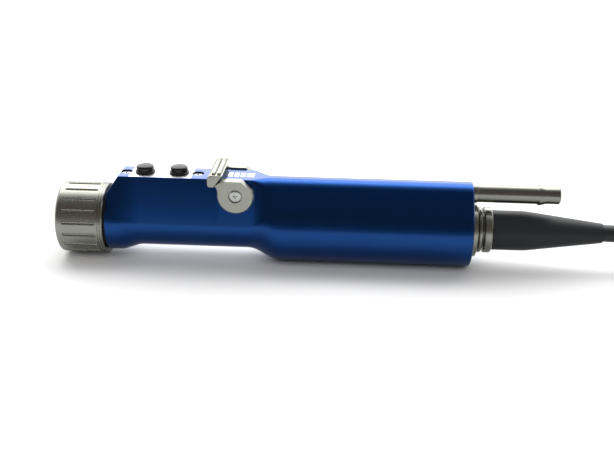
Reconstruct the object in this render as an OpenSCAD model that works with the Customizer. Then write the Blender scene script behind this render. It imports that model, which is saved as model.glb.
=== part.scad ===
// Arthroscopic shaver handpiece, lying as it does on an instrument table.
// Millimetres. X runs along the drive axis from the mouth of the blade socket to the cable,
// Z is up through the switches, and the origin is the centre of the socket's mouth.

/* [Locking collet] */
// Length of the turned locking collet
collet_len = 19.7; // [19:0.1:24]
// Outside radius of the collet
collet_r = 14.7; // [14.5:0.1:16]
// Radius of the rounded front edge
collet_edge_r = 1.7; // [0.5:0.1:2.2]
// Thickness of the collet's front wall
collet_wall = 4.5; // [4:0.1:4.8]
// Number of finger slots round the collet
slot_count = 18; // [8:1:20]
// Length of one finger slot
slot_len = 14; // [10:0.1:14.5]
// Width of one finger slot
slot_w = 1.5; // [1:0.1:2]
// Depth of one finger slot
slot_depth = 0.6; // [0.3:0.05:0.8]
// Distance from the collet's front face to the slots
slot_lead = 2.9; // [2.4:0.1:3.2]

/* [Housing] */
// Width of the dark seal between collet and housing
seal_w = 0.8; // [0.5:0.05:1.2]
// Length of the housing behind the seal
body_len = 149.8; // [149:0.1:155]
// Radius of the front barrel
front_r = 13.1; // [12.8:0.1:14]
// Radius of the waist, where the hand holds it
grip_r = 10.7; // [10.2:0.1:11.5]
// Radius of the rear barrel round the motor
rear_r = 15.5; // [15:0.1:16.5]
// Distance from the housing's front to the start of the waist
scoop_lead = 4; // [3:0.1:5]
// Length of the taper down into the waist
scoop_len = 10; // [8:0.1:12]
// Length of the straight waist
grip_len = 44; // [41:0.1:45]
// Length of the swell out of the waist
swell_len = 13.5; // [11:0.1:15]
// Height of the nose above the axis at the housing's front
nose_h = 13.3; // [12.8:0.1:14]
// Length of the nose ramp
ramp_len = 5.2; // [4:0.1:5.3]
// Length of the flat top
flat_len = 53.3; // [53:0.1:55]
// Height of the flat top above the drive axis
flat_h = 20.7; // [20.5:0.1:21.5]
// Half width of the flat top
flat_half_w = 7; // [6.9:0.05:7.2]
// Edge radius along the flat top
flat_edge_r = 0.5; // [0.3:0.05:0.8]
// Length over which the flat fades into the rear crest
fade_len = 9; // [7:0.1:11]
// Height of the rear crest above the drive axis
crest_h = 20.1; // [20:0.1:20.5]
// Radius of the rear crest
crest_r = 7; // [6:0.1:7]
// Rounding of the housing's rear edge
rear_edge_r = 1; // [0.5:0.1:2]

/* [Switches] */
// Distance from the housing's front to the middle of the switch plate
plate_lead = 22.2; // [21.8:0.1:22.6]
// Length of the switch plate
plate_len = 26; // [25:0.1:27]
// Thickness of the switch plate
plate_t = 0.9; // [0.7:0.05:1]
// Half width of the switch plate
plate_half_w = 6.6; // [6:0.1:6.8]
// Distance between the two plate screws
plate_screw_pitch = 29.8; // [29.4:0.1:30.2]
// Head radius of a plate screw
plate_screw_head_r = 2.2; // [1.8:0.05:2.3]
// Distance between the two buttons
button_pitch = 14.1; // [12:0.1:15]
// Radius of a button cap
button_r = 3.5; // [3:0.05:3.8]
// Height of a button above the switch plate
button_h = 3.3; // [2.5:0.1:4]
// Travel of a button
button_travel = 0.6; // [0.3:0.05:0.7]

/* [Suction lever] */
// Distance from the housing's front to the lever's pivot
pivot_lead = 53.7; // [53:0.1:54.5]
// Height of the lever's pivot above the drive axis
pivot_h = 15.1; // [14.8:0.1:15.4]
// Radius of the lever's hub discs
hub_r = 7.4; // [6.8:0.1:7.6]
// Outside width of the lever over both ears
lever_w = 23; // [22:0.1:25]
// Reach of the thumb bar in front of the pivot
lever_reach = 11.2; // [10.6:0.1:12]
// Radial gap between a hub disc and its pocket
pocket_gap = 0.35; // [0.25:0.05:0.5]
// Side gap between a hub disc and the floor of its pocket
ear_gap = 0.2; // [0.1:0.05:0.3]
// Radius of the valve spool
spool_r = 4.6; // [4:0.1:4.8]
// Radius of the suction passage
passage_r = 2.6; // [2:0.1:2.7]
// Head radius of a lever screw
lever_screw_head_r = 2.45; // [2:0.05:2.6]

/* [Suction tube] */
// Outside radius of the suction tube
tube_r = 3.72; // [3.5:0.02:3.8]
// Height of the suction tube above the drive axis
tube_h = 15.9; // [15.8:0.05:16]
// Length of suction tube outside the housing
tube_out_len = 35; // [30:0.5:45]
// Length of suction tube inside the housing
tube_in_len = 20; // [12:0.5:26]
// Largest radius of the hose barb
barb_r = 4.3; // [4.1:0.05:4.6]
// Length of the barb's ramp
barb_len = 3; // [2:0.1:4]
// Length of the barb's steep side
barb_back_len = 0.7; // [0.3:0.1:1.2]
// Radius of the plain spigot behind the barb
spigot_r = 3.6; // [3.3:0.05:3.7]
// Length of the plain spigot behind the barb
spigot_len = 5.5; // [5:0.1:8]
// Wall of the suction tube
tube_wall = 1; // [0.8:0.05:1.2]

/* [Cable end] */
// Radius of the threaded rear cap
cap_r = 11.2; // [11:0.05:11.3]
// Length of the rear cap outside the housing
cap_out_len = 2.2; // [1.5:0.1:3]
// Length of the rear cap inside the housing
cap_in_len = 10; // [8:0.1:12]
// Radius of the cable gland
gland_r = 9.5; // [9:0.1:10]
// Length of the gland's narrow ring
gland_ring_len = 1.7; // [1.2:0.1:2.2]
// Length of the gland nut
gland_nut_len = 3.4; // [3:0.1:5]
// Largest radius of the strain relief boot
boot_r = 8.2; // [7.6:0.1:8.8]
// Length of the boot outside the gland nut
boot_len = 45.7; // [40:0.1:50]
// Share of the boot that is not tapered
boot_straight_share = 0.3; // [0.2:0.01:0.4]
// Radius of the boot at its small end
boot_tip_r = 4.1; // [3.9:0.1:4.6]
// Radius of the cable
cable_r = 3.6; // [3.4:0.05:3.8]

/* [Drive] */
// Radius of the bore that takes the blade's hub
socket_r = 7.15; // [6.9:0.05:7.3]
// Depth of the bore that takes the blade's hub
socket_depth = 21; // [20:0.5:22]
// Outside radius of the blade socket
socket_out_r = 9.4; // [9.2:0.05:9.5]
// Radius of the motor's can
motor_r = 11.1; // [10.8:0.05:11.15]
// Length of the wiring space between the motor and the rear cap
wiring_len = 7.3; // [5:0.1:10]
// Radius of the motor's shaft
shaft_r = 2; // [1.8:0.05:2.2]

/* [Hidden] */

$fn = 96;
// Every cut runs this far past the face it opens
overrun = 1;
// Running clearance of every turning or sliding fit, on the radius
run_gap = 0.05;
// Clearance between faces that pass each other
face_gap = 0.2;

// Stations along the drive axis
body_x = collet_len + seal_w;
flat_x = body_x + ramp_len;
flat_end_x = flat_x + flat_len;
scoop_x = body_x + scoop_lead;
grip_x = scoop_x + scoop_len;
swell_x = grip_x + grip_len;
rear_x = swell_x + swell_len;
body_end_x = body_x + body_len;
plate_x = body_x + plate_lead;
pivot_x = body_x + pivot_lead;
cap_end_x = body_end_x + cap_out_len;

// Inside of the collet, and the blade socket with its lock
collet_groove_w = 0.35;
collet_groove_depth = 0.22;
collet_band_len = 0.7;
collet_band_pitch = 1;
collet_chamfer = 0.3;
slot_turn_share = 0;
neck_r = 11.9;
neck_lead = 12.2;
collet_bore_r = neck_r + run_gap;
clip_w = 0.8;
clip_lift = 0.45;
clip_seat = 0.6;
clip_lead = 4;
clip_mouth = 3;
clip_x = body_x - clip_lead;
ball_r = 1.5;
ball_lead = 6.6;
ball_count = 3;
ball_seat_r = socket_r + ball_r + face_gap / 2;
socket_len = 30;
socket_throat_r = 5;
spring_wire_r = 0.5;
spring_turns = 2.5;
spring_steps = 12;
spring_sides = 8;
spring_mean_r = (socket_out_r + collet_bore_r) / 2;
spring_x = ball_lead + ball_r + spring_wire_r + face_gap;
spring_len = neck_lead - spring_x - spring_wire_r;
seal_lip = 0.35;

// Steps of the housing's skin, round its section and along its tapers
low_steps = 21;
edge_steps = 7;
taper_steps = 9;
swell_steps = 14;
rear_edge_steps = 4;
crest_flat = 0.3;

// Lever: ears beside the flat, hub discs with two flats, thumb bar with two ridges
pocket_floor = flat_half_w;
ear_in = pocket_floor + ear_gap;
ear_out = lever_w / 2;
ear_rise = 0.6;
hub_flat = flat_h + ear_rise - pivot_h;
hub_flat_angles = [90, 50];
hub_chamfer = 0.5;
arm_relief = 0.45;
arm_in = ear_in + arm_relief;
bar_proud = 0.4;
bar_out = ear_out + bar_proud;
bar_gap = 0.5;
bar_section_shares = [[-0.75, 0.348], [-0.821, 0.326], [-0.964, 0.339], [-1, 0.411], [-1, 0.661],
                      [-0.973, 0.723], [-0.884, 0.781], [-0.455, 0.768]];
neck_outline_shares = [[-0.77, 0.36], [-0.72, 0.345], [-0.665, 0.27], [-0.643, 0.143], [0, 0]];
neck_top_share = -0.491;
ridge_centre_shares = [-0.775, -0.58];
ridge_base_h_share = 0.765;
ridge_h = 1;
ridge_foot_w = 1.8;
ridge_top_w = 1.1;
ridge_inset = 1.2;
lever_screw_r = 1.25;
lever_screw_len = 7;
lever_head_t = 1.2;
lever_head_sink = 0.15;
lever_screw_grip = ear_in + lever_head_sink + lever_screw_len - ear_out;
screw_ring_gap = 0.3;
cross_w = 0.55;
cross_share = 0.62;
cross_depth = 0.7;
valve_seal_w = 1.2;
valve_seal_t = 0.7;
valve_seal_lead = 1.4;

// Suction passage from the wash chamber up to the valve
chamber_r = 5.2;
chamber_len = 16;
port_lead = 8;
port_x = socket_len + port_lead;
channel_r = 2.4;
channel_h = 14.2;
tube_collar_r = 3.98;
tube_collar_in = 2;
tube_collar_out = 1.9;
tube_chamfer = 0.4;

// Suction scale engraved between the ears
mark_pitch = 2.6;
mark_gap = 0.5;
mark_depth = 0.15;
mark_half_w = 2.6;
mark_count = 3;
mark_lead = 4.2;
mark_tail_len = 3.2;
mark_x = pivot_x - mark_lead;

// Switch group under the plate
recess_h = flat_h - plate_t;
plate_hole_gap = 0.06;
bay_end = 4.6;
bay_len = button_pitch + 2 * bay_end;
bay_half_w = 5.4;
bay_floor_h = 17.3;
board_t = 0.8;
board_gap = 0.3;
button_flange_r = 4.3;
button_flange_t = 0.8;
button_edge_r = 0.9;
button_crown = 0.25;
button_edge_angle = 75;
button_seat_h = recess_h - run_gap;
button_foot_h = button_seat_h - button_flange_t;
bezel_w = 0.5;
bezel_t = 0.8;
magnet_r = 1.5;
magnet_t = 2;
dome_r = 2.6;
dome_t = 0.15;
dome_h = button_foot_h - bay_floor_h - board_t;
plate_screw_r = 1.1;
plate_screw_len = 3.5;
plate_screw_sink = 0.45;
screw_head_t = 1;

// Drive train
tunnel_r = 4.2;
lip_seal_len = 2;
lip_seal_pitch = 2.6;
lip_seal_lead = 1;
motor_lead = 5;
retainer_len = 4;
motor_x = rear_x + motor_lead;
motor_end_x = body_end_x - cap_in_len - wiring_len - retainer_len;
can_wall = 0.95;
can_front_t = 5;
bearing_r = 6.5;
bearing_len = 4;
stator_end = 3;
stator_in_r = 6.2;
magnet_gap = 0.4;
magnet_end = 2;
bell_t = 5;
coupling_r = 3.6;
coupling_len = 14;
coupling_slot_w = 1.6;
coupling_slot_len = 7;
coupling_tip_gap = 1;
coupling_x = socket_depth + coupling_tip_gap;
coupling_end_x = coupling_x + coupling_len;
shaft_x = coupling_x + coupling_slot_len + overrun;

// Rear cap, gland and boot
cap_bore_r = 6;
cap_chamfer = 0.5;
gland_neck_r = 7;
gland_lead = 0.5;
gland_gap_len = 0.6;
gland_chamfer = 0.45;
gland_root_len = 6;
gland_x = cap_end_x + gland_lead;
nut_x = gland_x + gland_ring_len + gland_gap_len;
nut_seat_len = 0.8;
boot_x = nut_x + gland_nut_len;
boot_end_x = boot_x + boot_len;
boot_root_r = 6.6;
boot_root_len = gland_nut_len - nut_seat_len;
boot_shoulder = 1.5;
boot_shoulder_drop = 0.12;
boot_tip_round = 0.35;
clamp_len = 5;

// Cable: its route from the boot down to the table, the hank that puts the rest away in line with the
// handpiece, and the tail that runs back along its top and rises to the plug that lies on it
cable_route = [[0, 0, 0], [4, 0, 0], [8, 0, -0.3], [14, 0.4, -1.4], [20, 1.5, -3.1], [26, 3.4, -5.1],
               [32, 5.8, -7.1], [38, 8.2, -9], [44, 10.2, -10.5], [50, 11.4, -11.5], [57, 11.9, -11.9],
               [66, 11.9, -11.9]];
tail_route = [[0, 0, 0], [-16, 0, 0], [-32, 0, 0], [-48, 0, 0], [-58, -0.1, 0.6], [-66, -0.4, 1.9],
              [-74, -0.7, 3.4], [-82, -1, 4.9], [-90, -1.2, 5.9], [-97, -1.2, 6.1], [-104, -1.2, 6.1]];
cable_sides = 10;
route_steps = 2;
table_h = -rear_r;
hank_start = cable_route[len(cable_route) - 1];
hank_run_len = 195;
hank_in_r = 12.6;
hank_columns = 2;
hank_layers = 3;
hank_out_r = hank_in_r + 2 * cable_r * hank_columns;
hank_h = 2 * cable_r * hank_layers;
fold_r = hank_out_r - cable_r;
hank_x = boot_end_x + hank_start.x;
hank_y = hank_start.y - fold_r;
tail_start = [hank_x + hank_run_len, hank_y - fold_r + 2 * cable_r, table_h + hank_h + cable_r];
plug_start = tail_start + tail_route[len(tail_route) - 1];
plug_boot_len = 16;
plug_boot_r = 6;
plug_boot_tip_r = 4.2;
plug_body_r = 8.4;
plug_body_len = 12;
plug_grip_r = 9.6;
plug_grip_len = 11;
plug_flutes = 24;
plug_flute_r = 0.7;
plug_shell_r = 7;
plug_shell_len = 8;
plug_shell_wall = 0.9;
plug_insert_t = 2;
plug_pin_r = 0.5;
plug_pin_len = 5;
plug_pin_count = 6;
plug_pin_circle_share = 0.62;
plug_chamfer = 0.6;

// Smooth step from 0 to 1 with level ends, and even steps from 0 to 1
function clamp01(t) = max(0, min(1, t));
function ease(t) = (1 - cos(180 * clamp01(t))) / 2;
function steps(n) = [for (i = [0 : n]) i / n];
function arc(centre, r, a0, a1, n) =
    [for (t = steps(n)) let (a = a0 + (a1 - a0) * t) centre + r * [cos(a), sin(a)]];

// Section of the housing: a lower round that follows barrel and waist, and two upper rounds at the
// edges of the flat top, wrapped by one taut skin
function fade(x) = ease((x - flat_end_x) / fade_len);
function low_r(x) = front_r + (grip_r - front_r) * ease((x - scoop_x) / scoop_len)
                  + (rear_r - grip_r) * ease((x - swell_x) / swell_len);
function top_h(x) = nose_h + (flat_h - nose_h) * clamp01((x - body_x) / ramp_len)
                  - (flat_h - crest_h) * fade(x);
function edge_r(x) = flat_edge_r + (crest_r - flat_edge_r) * fade(x);
function edge_centre(x) = [flat_half_w + crest_flat * fade(x) - edge_r(x), top_h(x) - edge_r(x)];
function taut_angle(x) =
    let (c = edge_centre(x)) atan2(c.y, c.x) - acos((low_r(x) - edge_r(x)) / norm(c));
function inset(x) =
    let (d = max(0, x - body_end_x + rear_edge_r)) rear_edge_r - sqrt(max(0, pow(rear_edge_r, 2) - d * d));
function skin_half(x) = concat(arc([0, 0], low_r(x) - inset(x), -90, taut_angle(x), low_steps),
                               arc(edge_centre(x), edge_r(x) - inset(x), taut_angle(x), 90, edge_steps));
function skin_ring(x) = let (half = skin_half(x), n = len(half))
    concat([for (p = half) [x, p.x, p.y]], [for (i = [n - 1 : -1 : 1]) [x, -half[i].x, half[i].y]]);
skin_stations = concat([body_x, scoop_x, flat_x],
    [for (t = steps(taper_steps)) if (scoop_x + scoop_len * t > flat_x + face_gap) scoop_x + scoop_len * t],
    [for (t = steps(swell_steps)) swell_x + swell_len * t],
    [for (t = steps(rear_edge_steps)) body_end_x - rear_edge_r + rear_edge_r * sin(90 * t)]);

// A closed skin over rings of points, one ring per station
module lofted(rings) {
    n = len(rings[0]);
    m = len(rings);
    polyhedron(
        points = [for (r = rings) each r],
        faces = concat(
            [[for (i = [0 : n - 1]) i]],
            [for (k = [0 : m - 2]) for (i = [0 : n - 1]) each
                let (a = k * n + i, b = k * n + (i + 1) % n) [[a, a + n, b], [b, a + n, b + n]]],
            [[for (i = [n - 1 : -1 : 0]) (m - 1) * n + i]]),
        convexity = 6);
}

// A round wire along a path, each ring square to it and turned by a direction that the path never takes
function path_dir(path, i) =
    let (a = path[max(0, i - 1)], b = path[min(len(path) - 1, i + 1)]) (b - a) / norm(b - a);
function wire_ring(p, d, up, r, sides) = let (s = cross(d, up) / norm(cross(d, up)), u = cross(s, d))
    [for (i = [0 : sides - 1]) p + r * (cos(360 * i / sides) * s + sin(360 * i / sides) * u)];
module wire(path, up, r, sides) {
    lofted([for (i = [0 : len(path) - 1]) wire_ring(path[i], path_dir(path, i), up, r, sides)]);
}

// A smooth curve through the points of a route, n steps between each two
function route_at(a, b, c, d, t) = (2 * b + (c - a) * t + (2 * a - 5 * b + 4 * c - d) * pow(t, 2)
                                  + (3 * b - a - 3 * c + d) * pow(t, 3)) / 2;
function smooth_route(p, n) = concat(
    [for (i = [0 : len(p) - 2]) for (k = [0 : n - 1])
        route_at(p[max(0, i - 1)], p[i], p[i + 1], p[min(len(p) - 1, i + 2)], k / n)], [p[len(p) - 1]]);

// Round bars along an axis from one place to another, a ring, and a body turned about the drive axis
module bar_x(r, from, to) { translate([from, 0, 0]) rotate([0, 90, 0]) cylinder(r = r, h = to - from); }
module bar_y(r, from, to) { translate([0, from, 0]) rotate([-90, 0, 0]) cylinder(r = r, h = to - from); }
module bar_z(r, from, to) { translate([0, 0, from]) cylinder(r = r, h = to - from); }
module ring_x(r_out, r_in, from, to) {
    difference() {
        bar_x(r_out, from, to);
        bar_x(r_in, from - overrun, to + overrun);
    }
}
module turned(points) { rotate([0, 90, 0]) rotate_extrude() polygon(points); }

// Screw with its head's top at the origin, its shank down Z and a cross recess
module cross_screw(head_r, head_t, shank_r, screw_len) {
    difference() {
        union() {
            bar_z(head_r, -head_t, 0);
            bar_z(shank_r, -screw_len, -head_t);
        }
        for (a = [0, 90])
            rotate([0, 0, a]) translate([-head_r * cross_share, -cross_w / 2, -cross_depth])
                cube([2 * head_r * cross_share, cross_w, cross_depth + overrun]);
    }
}

module main_housing() {
    color("#0d4f9c")
    difference() {
        union() {
            lofted([for (x = skin_stations) skin_ring(x)]);
            bar_x(neck_r, neck_lead, body_x + overrun);
        }
        socket_seat();
        motor_space();
        suction_passage();
        lever_pockets();
        switch_seat();
        suction_scale();
    }
}

// Seat of the blade socket, the clip's groove round the neck, and the wash chamber behind
module socket_seat() {
    bar_x(socket_out_r, neck_lead - overrun, socket_len);
    ring_x(neck_r + overrun, neck_r - clip_seat, clip_x, clip_x + clip_w);
    bar_x(chamber_r, socket_len - overrun, socket_len + chamber_len);
}

// Shaft tunnel and motor bore, open at the rear
module motor_space() {
    bar_x(tunnel_r, socket_len, motor_x + overrun);
    bar_x(cap_r, motor_x, body_end_x + overrun);
}

// Port up from the chamber, front channel, valve bore, rear channel and the tube's seat
module suction_passage() {
    translate([port_x, 0, 0]) bar_z(channel_r, 0, channel_h);
    translate([0, 0, channel_h]) bar_x(channel_r, port_x - channel_r, pivot_x);
    translate([pivot_x, 0, pivot_h])
        bar_y(spool_r + run_gap, -flat_half_w - overrun, flat_half_w + overrun);
    translate([0, 0, tube_h]) {
        bar_x(passage_r, pivot_x, body_end_x);
        bar_x(tube_r, body_end_x - tube_in_len, body_end_x + overrun);
        bar_x(tube_collar_r, body_end_x - tube_collar_in, body_end_x + overrun);
    }
}

// Round pockets in the flanks that the lever's hub discs turn in
module lever_pockets() {
    translate([pivot_x, 0, pivot_h]) {
        bar_y(hub_r + pocket_gap, pocket_floor, rear_r);
        bar_y(hub_r + pocket_gap, -rear_r, -pocket_floor);
    }
}

// Shallow pocket for the switch plate, the bay below it and the seats of its screws
module switch_seat() {
    translate([plate_x - plate_len / 2, -plate_half_w, recess_h])
        cube([plate_len, 2 * plate_half_w, plate_t + overrun]);
    translate([plate_x - bay_len / 2, -bay_half_w, bay_floor_h])
        cube([bay_len, 2 * bay_half_w, flat_h - bay_floor_h]);
    for (side = [-1, 1])
        translate([plate_x + side * plate_screw_pitch / 2, 0, 0]) {
            bar_z(plate_screw_head_r + screw_ring_gap, flat_h - plate_screw_sink - screw_head_t,
                  flat_h + overrun);
            bar_z(plate_screw_r, flat_h - plate_screw_sink - plate_screw_len, flat_h);
        }
}

// Short blocks and a long one, engraved in the flat between the lever's ears
module suction_scale() {
    for (i = [0 : mark_count])
        translate([mark_x + mark_pitch * i, -mark_half_w, flat_h - mark_depth])
            cube([i < mark_count ? mark_pitch - mark_gap : mark_tail_len,
                  2 * mark_half_w, mark_depth + overrun]);
}

module collet_ring() {
    clip_space = collet_bore_r + clip_lift + face_gap;
    color("#b9bab4")
    difference() {
        turned(concat(
            [[socket_out_r + run_gap, 0]],
            arc([collet_r - collet_edge_r, collet_edge_r], collet_edge_r, -90, 0, 6),
            [for (band = [1, 0]) each let (x = collet_len - collet_band_len - band * collet_band_pitch)
                [[collet_r, x - collet_groove_w], [collet_r - collet_groove_depth, x - collet_groove_w],
                 [collet_r - collet_groove_depth, x], [collet_r, x]]],
            [[collet_r, collet_len - collet_chamfer], [collet_r - collet_chamfer, collet_len],
             [collet_bore_r, collet_len], [collet_bore_r, clip_x + clip_w + face_gap],
             [clip_space, clip_x + clip_w + face_gap],
             [clip_space, clip_x - face_gap], [collet_bore_r, clip_x - face_gap],
             [collet_bore_r, collet_wall], [socket_out_r + run_gap, collet_wall]]));
        for (i = [0 : slot_count - 1])
            rotate([360 * (i + slot_turn_share) / slot_count, 0, 0]) finger_slot();
    }
}

// One round-ended slot in the collet's crown
module finger_slot() {
    for (x = [slot_lead + slot_w / 2, slot_lead + slot_len - slot_w / 2])
        translate([x, 0, collet_r - slot_depth]) cylinder(r = slot_w / 2, h = slot_depth + overrun, $fn = 24);
    translate([slot_lead + slot_w / 2, -slot_w / 2, collet_r - slot_depth])
        cube([slot_len - slot_w, slot_w, slot_depth + overrun]);
}

module nose_seal() {
    color("#15161a") ring_x(front_r - seal_lip, neck_r, collet_len + run_gap, body_x);
}

module blade_socket() {
    color("#a9aaa6")
    difference() {
        turned([[socket_r, 0], [socket_out_r, 0], [socket_out_r, socket_len], [socket_throat_r, socket_len],
                [socket_throat_r, socket_depth], [socket_r, socket_depth]]);
        for (i = [0 : ball_count - 1])
            rotate([360 * i / ball_count, 0, 0])
                translate([ball_lead, 0, 0]) bar_z(ball_r + run_gap, socket_r - overrun, socket_out_r + overrun);
    }
}

module locking_balls() {
    color("#d4d4d0")
    for (i = [0 : ball_count - 1])
        rotate([360 * i / ball_count, 0, 0]) translate([ball_lead, 0, ball_seat_r]) sphere(r = ball_r);
}

module collet_spring() {
    n = spring_turns * spring_steps;
    color("#8d8f92")
    wire([for (i = [0 : n]) let (a = 360 * i / spring_steps)
            [spring_x + spring_len * i / n, spring_mean_r * cos(a), spring_mean_r * sin(a)]],
         [1, 0, 0], spring_wire_r, spring_sides);
}

module collet_clip() {
    color("#9a9c9e")
    difference() {
        ring_x(neck_r + clip_lift, neck_r - clip_seat, clip_x, clip_x + clip_w);
        translate([clip_x - overrun, -clip_mouth / 2, -collet_r])
            cube([clip_w + 2 * overrun, clip_mouth, collet_r]);
    }
}

module switch_plate() {
    color("#c9cbcb")
    difference() {
        translate([plate_x - plate_len / 2, -plate_half_w, recess_h])
            cube([plate_len, 2 * plate_half_w, plate_t]);
        for (side = [-1, 1]) {
            translate([plate_x + side * button_pitch / 2, 0, 0])
                bar_z(button_r + plate_hole_gap, recess_h - overrun, flat_h + overrun);
            translate([plate_x + side * plate_screw_pitch / 2, 0, 0])
                bar_z(plate_screw_head_r + screw_ring_gap, recess_h - overrun, flat_h + overrun);
        }
    }
}

module plate_screws() {
    color("#d8d9d8")
    for (side = [-1, 1])
        translate([plate_x + side * plate_screw_pitch / 2, 0, flat_h - plate_screw_sink])
            cross_screw(plate_screw_head_r, screw_head_t, plate_screw_r, plate_screw_len);
}

module button_bezels() {
    hole_r = button_r + plate_hole_gap;
    color("#141414")
    for (side = [-1, 1])
        translate([plate_x + side * button_pitch / 2, 0, flat_h])
            rotate_extrude()
                polygon([[hole_r, 0], [hole_r + bezel_w, 0], [hole_r + bezel_w, bezel_t / 2],
                         [hole_r + bezel_w / 2, bezel_t], [hole_r, bezel_t]]);
}

// One button: domed cap, guide through the plate and a flange that keeps it in
module button(side) {
    color("#1b1b1c")
    translate([plate_x + side * button_pitch / 2, 0, 0])
        difference() {
            rotate_extrude()
                polygon(concat(
                    [[0, button_foot_h], [button_flange_r, button_foot_h], [button_flange_r, button_seat_h],
                     [button_r, button_seat_h]],
                    arc([button_r - button_edge_r, flat_h + button_h - button_edge_r - button_crown],
                        button_edge_r, 0, button_edge_angle, 5),
                    [[0, flat_h + button_h]]));
            bar_z(magnet_r, button_foot_h - overrun, button_foot_h + magnet_t);
        }
}
module front_button() { button(-1); }
module rear_button() { button(1); }

module button_magnet(side) {
    color("#a7a9ab")
    translate([plate_x + side * button_pitch / 2, 0, 0]) bar_z(magnet_r, button_foot_h, button_foot_h + magnet_t);
}
module front_magnet() { button_magnet(-1); }
module rear_magnet() { button_magnet(1); }

// Snap dome on the board under a button
module snap_dome(side) {
    color("#cfc9b8")
    translate([plate_x + side * button_pitch / 2, 0, bay_floor_h + board_t])
        rotate_extrude()
            polygon([[0, dome_h - dome_t], [dome_r / 2, dome_h - 2 * dome_t], [dome_r - dome_t, 0], [dome_r, 0],
                     [dome_r / 2 + dome_t, dome_h - dome_t], [0, dome_h]]);
}
module front_dome() { snap_dome(-1); }
module rear_dome() { snap_dome(1); }

module switch_board() {
    color("#1f5b34")
    translate([plate_x - bay_len / 2 + board_gap, board_gap - bay_half_w, bay_floor_h])
        cube([bay_len - 2 * board_gap, 2 * (bay_half_w - board_gap), board_t]);
}

// A slab of the lever between two places across the handpiece, cut to an outline in X and height
module lever_slab(from, to, outline) {
    translate([pivot_x, to, pivot_h]) rotate([90, 0, 0]) linear_extrude(to - from) polygon(outline);
}

// Hub disc on the far side, chamfered at its rim and cut by two flats
module hub_disc() {
    translate([pivot_x, 0, pivot_h]) rotate([-90, 0, 0])
        difference() {
            rotate_extrude()
                polygon([[0, ear_in], [hub_r, ear_in], [hub_r, ear_out - hub_chamfer],
                         [hub_r - hub_chamfer, ear_out], [0, ear_out]]);
            for (a = hub_flat_angles)
                rotate([0, 0, -a]) translate([hub_flat, -hub_r, ear_in - overrun])
                    cube([hub_r, 2 * hub_r, ear_out - ear_in + 2 * overrun]);
        }
}

// One ear: its hub disc, the neck in front of it and the end of the thumb bar
module lever_ear() {
    bar_section = lever_reach * bar_section_shares;
    neck_outline = concat(lever_reach * neck_outline_shares,
                          [[0, hub_flat], [lever_reach * neck_top_share, hub_flat]]);
    difference() {
        union() {
            hub_disc();
            lever_slab(arm_in, ear_out, neck_outline);
            lever_slab(arm_in, bar_out, bar_section);
        }
        translate([pivot_x, 0, pivot_h]) {
            bar_y(lever_screw_r + run_gap, ear_in - overrun, bar_out);
            bar_y(lever_screw_head_r + screw_ring_gap, ear_out - lever_head_sink - lever_head_t, bar_out);
        }
    }
}

module suction_lever() {
    ridge_h0 = lever_reach * ridge_base_h_share;
    ridge_outline = [[-ridge_foot_w / 2, 0], [ridge_foot_w / 2, 0], [ridge_top_w / 2, ridge_h],
                     [-ridge_top_w / 2, ridge_h]];
    color("#bdbeb8") {
        difference() {
            lever_slab(-arm_in, arm_in, lever_reach * bar_section_shares);
            translate([pivot_x - 2 * lever_reach, -ear_out, flat_h + bar_gap - lever_reach])
                cube([2 * lever_reach, lever_w, lever_reach]);
        }
        for (c = ridge_centre_shares)
            lever_slab(ridge_inset - ear_out, ear_out - ridge_inset,
                       [for (p = ridge_outline) [lever_reach * c, ridge_h0] + p]);
        lever_ear();
        mirror([0, 1, 0]) lever_ear();
    }
}

module lever_screws() {
    color("#c6c7c2")
    for (side = [-1, 1])
        translate([pivot_x, side * (ear_out - lever_head_sink), pivot_h]) rotate([-90 * side, 0, 0])
            cross_screw(lever_screw_head_r, lever_head_t, lever_screw_r, lever_screw_len);
}

module valve_spool() {
    seal_at = ear_in - valve_seal_lead - valve_seal_w;
    color("#9fa1a0")
    translate([pivot_x, 0, pivot_h])
        difference() {
            bar_y(spool_r, -ear_in, ear_in);
            bar_x(passage_r, -2 * spool_r, 2 * spool_r);
            for (side = [-1, 1]) {
                translate([0, side * ear_in, 0]) bar_y(lever_screw_r, -lever_screw_grip, lever_screw_grip);
                rotate([0, 0, 90 * side])
                    ring_x(spool_r + overrun, spool_r - valve_seal_t, seal_at, seal_at + valve_seal_w);
            }
        }
}

module valve_seals() {
    seal_at = ear_in - valve_seal_lead - valve_seal_w;
    color("#1a1a1a")
    translate([pivot_x, 0, pivot_h])
        for (side = [-1, 1])
            rotate([0, 0, 90 * side])
                ring_x(spool_r, spool_r - valve_seal_t, seal_at, seal_at + valve_seal_w);
}

module suction_tube() {
    tip_x = body_end_x + tube_out_len;
    barb_x = tip_x - spigot_len - barb_len - barb_back_len;
    bore_r = tube_r - tube_wall;
    color("#b4b6ae")
    translate([0, 0, tube_h])
        turned([[bore_r, body_end_x - tube_in_len], [tube_r, body_end_x - tube_in_len], [tube_r, barb_x],
                [barb_r, barb_x + barb_back_len], [spigot_r, tip_x - spigot_len],
                [spigot_r, tip_x - tube_chamfer], [spigot_r - tube_chamfer, tip_x], [bore_r, tip_x]]);
}

module tube_collar() {
    color("#c2c4bc")
    translate([0, 0, tube_h])
        ring_x(tube_collar_r, tube_r, body_end_x - tube_collar_in, body_end_x + tube_collar_out);
}

// Drive fork that turns the blade's inner hub, keyed on the motor's shaft
module drive_coupling() {
    color("#9b9da0")
    difference() {
        bar_x(coupling_r, coupling_x, coupling_end_x);
        bar_x(shaft_r, shaft_x, coupling_end_x + overrun);
        translate([coupling_x - overrun, -coupling_slot_w / 2, -coupling_r])
            cube([coupling_slot_len + overrun, coupling_slot_w, 2 * coupling_r]);
    }
}

module motor_shaft() { color("#c7c9ca") bar_x(shaft_r, shaft_x, motor_end_x - bell_t + bearing_len); }

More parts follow.
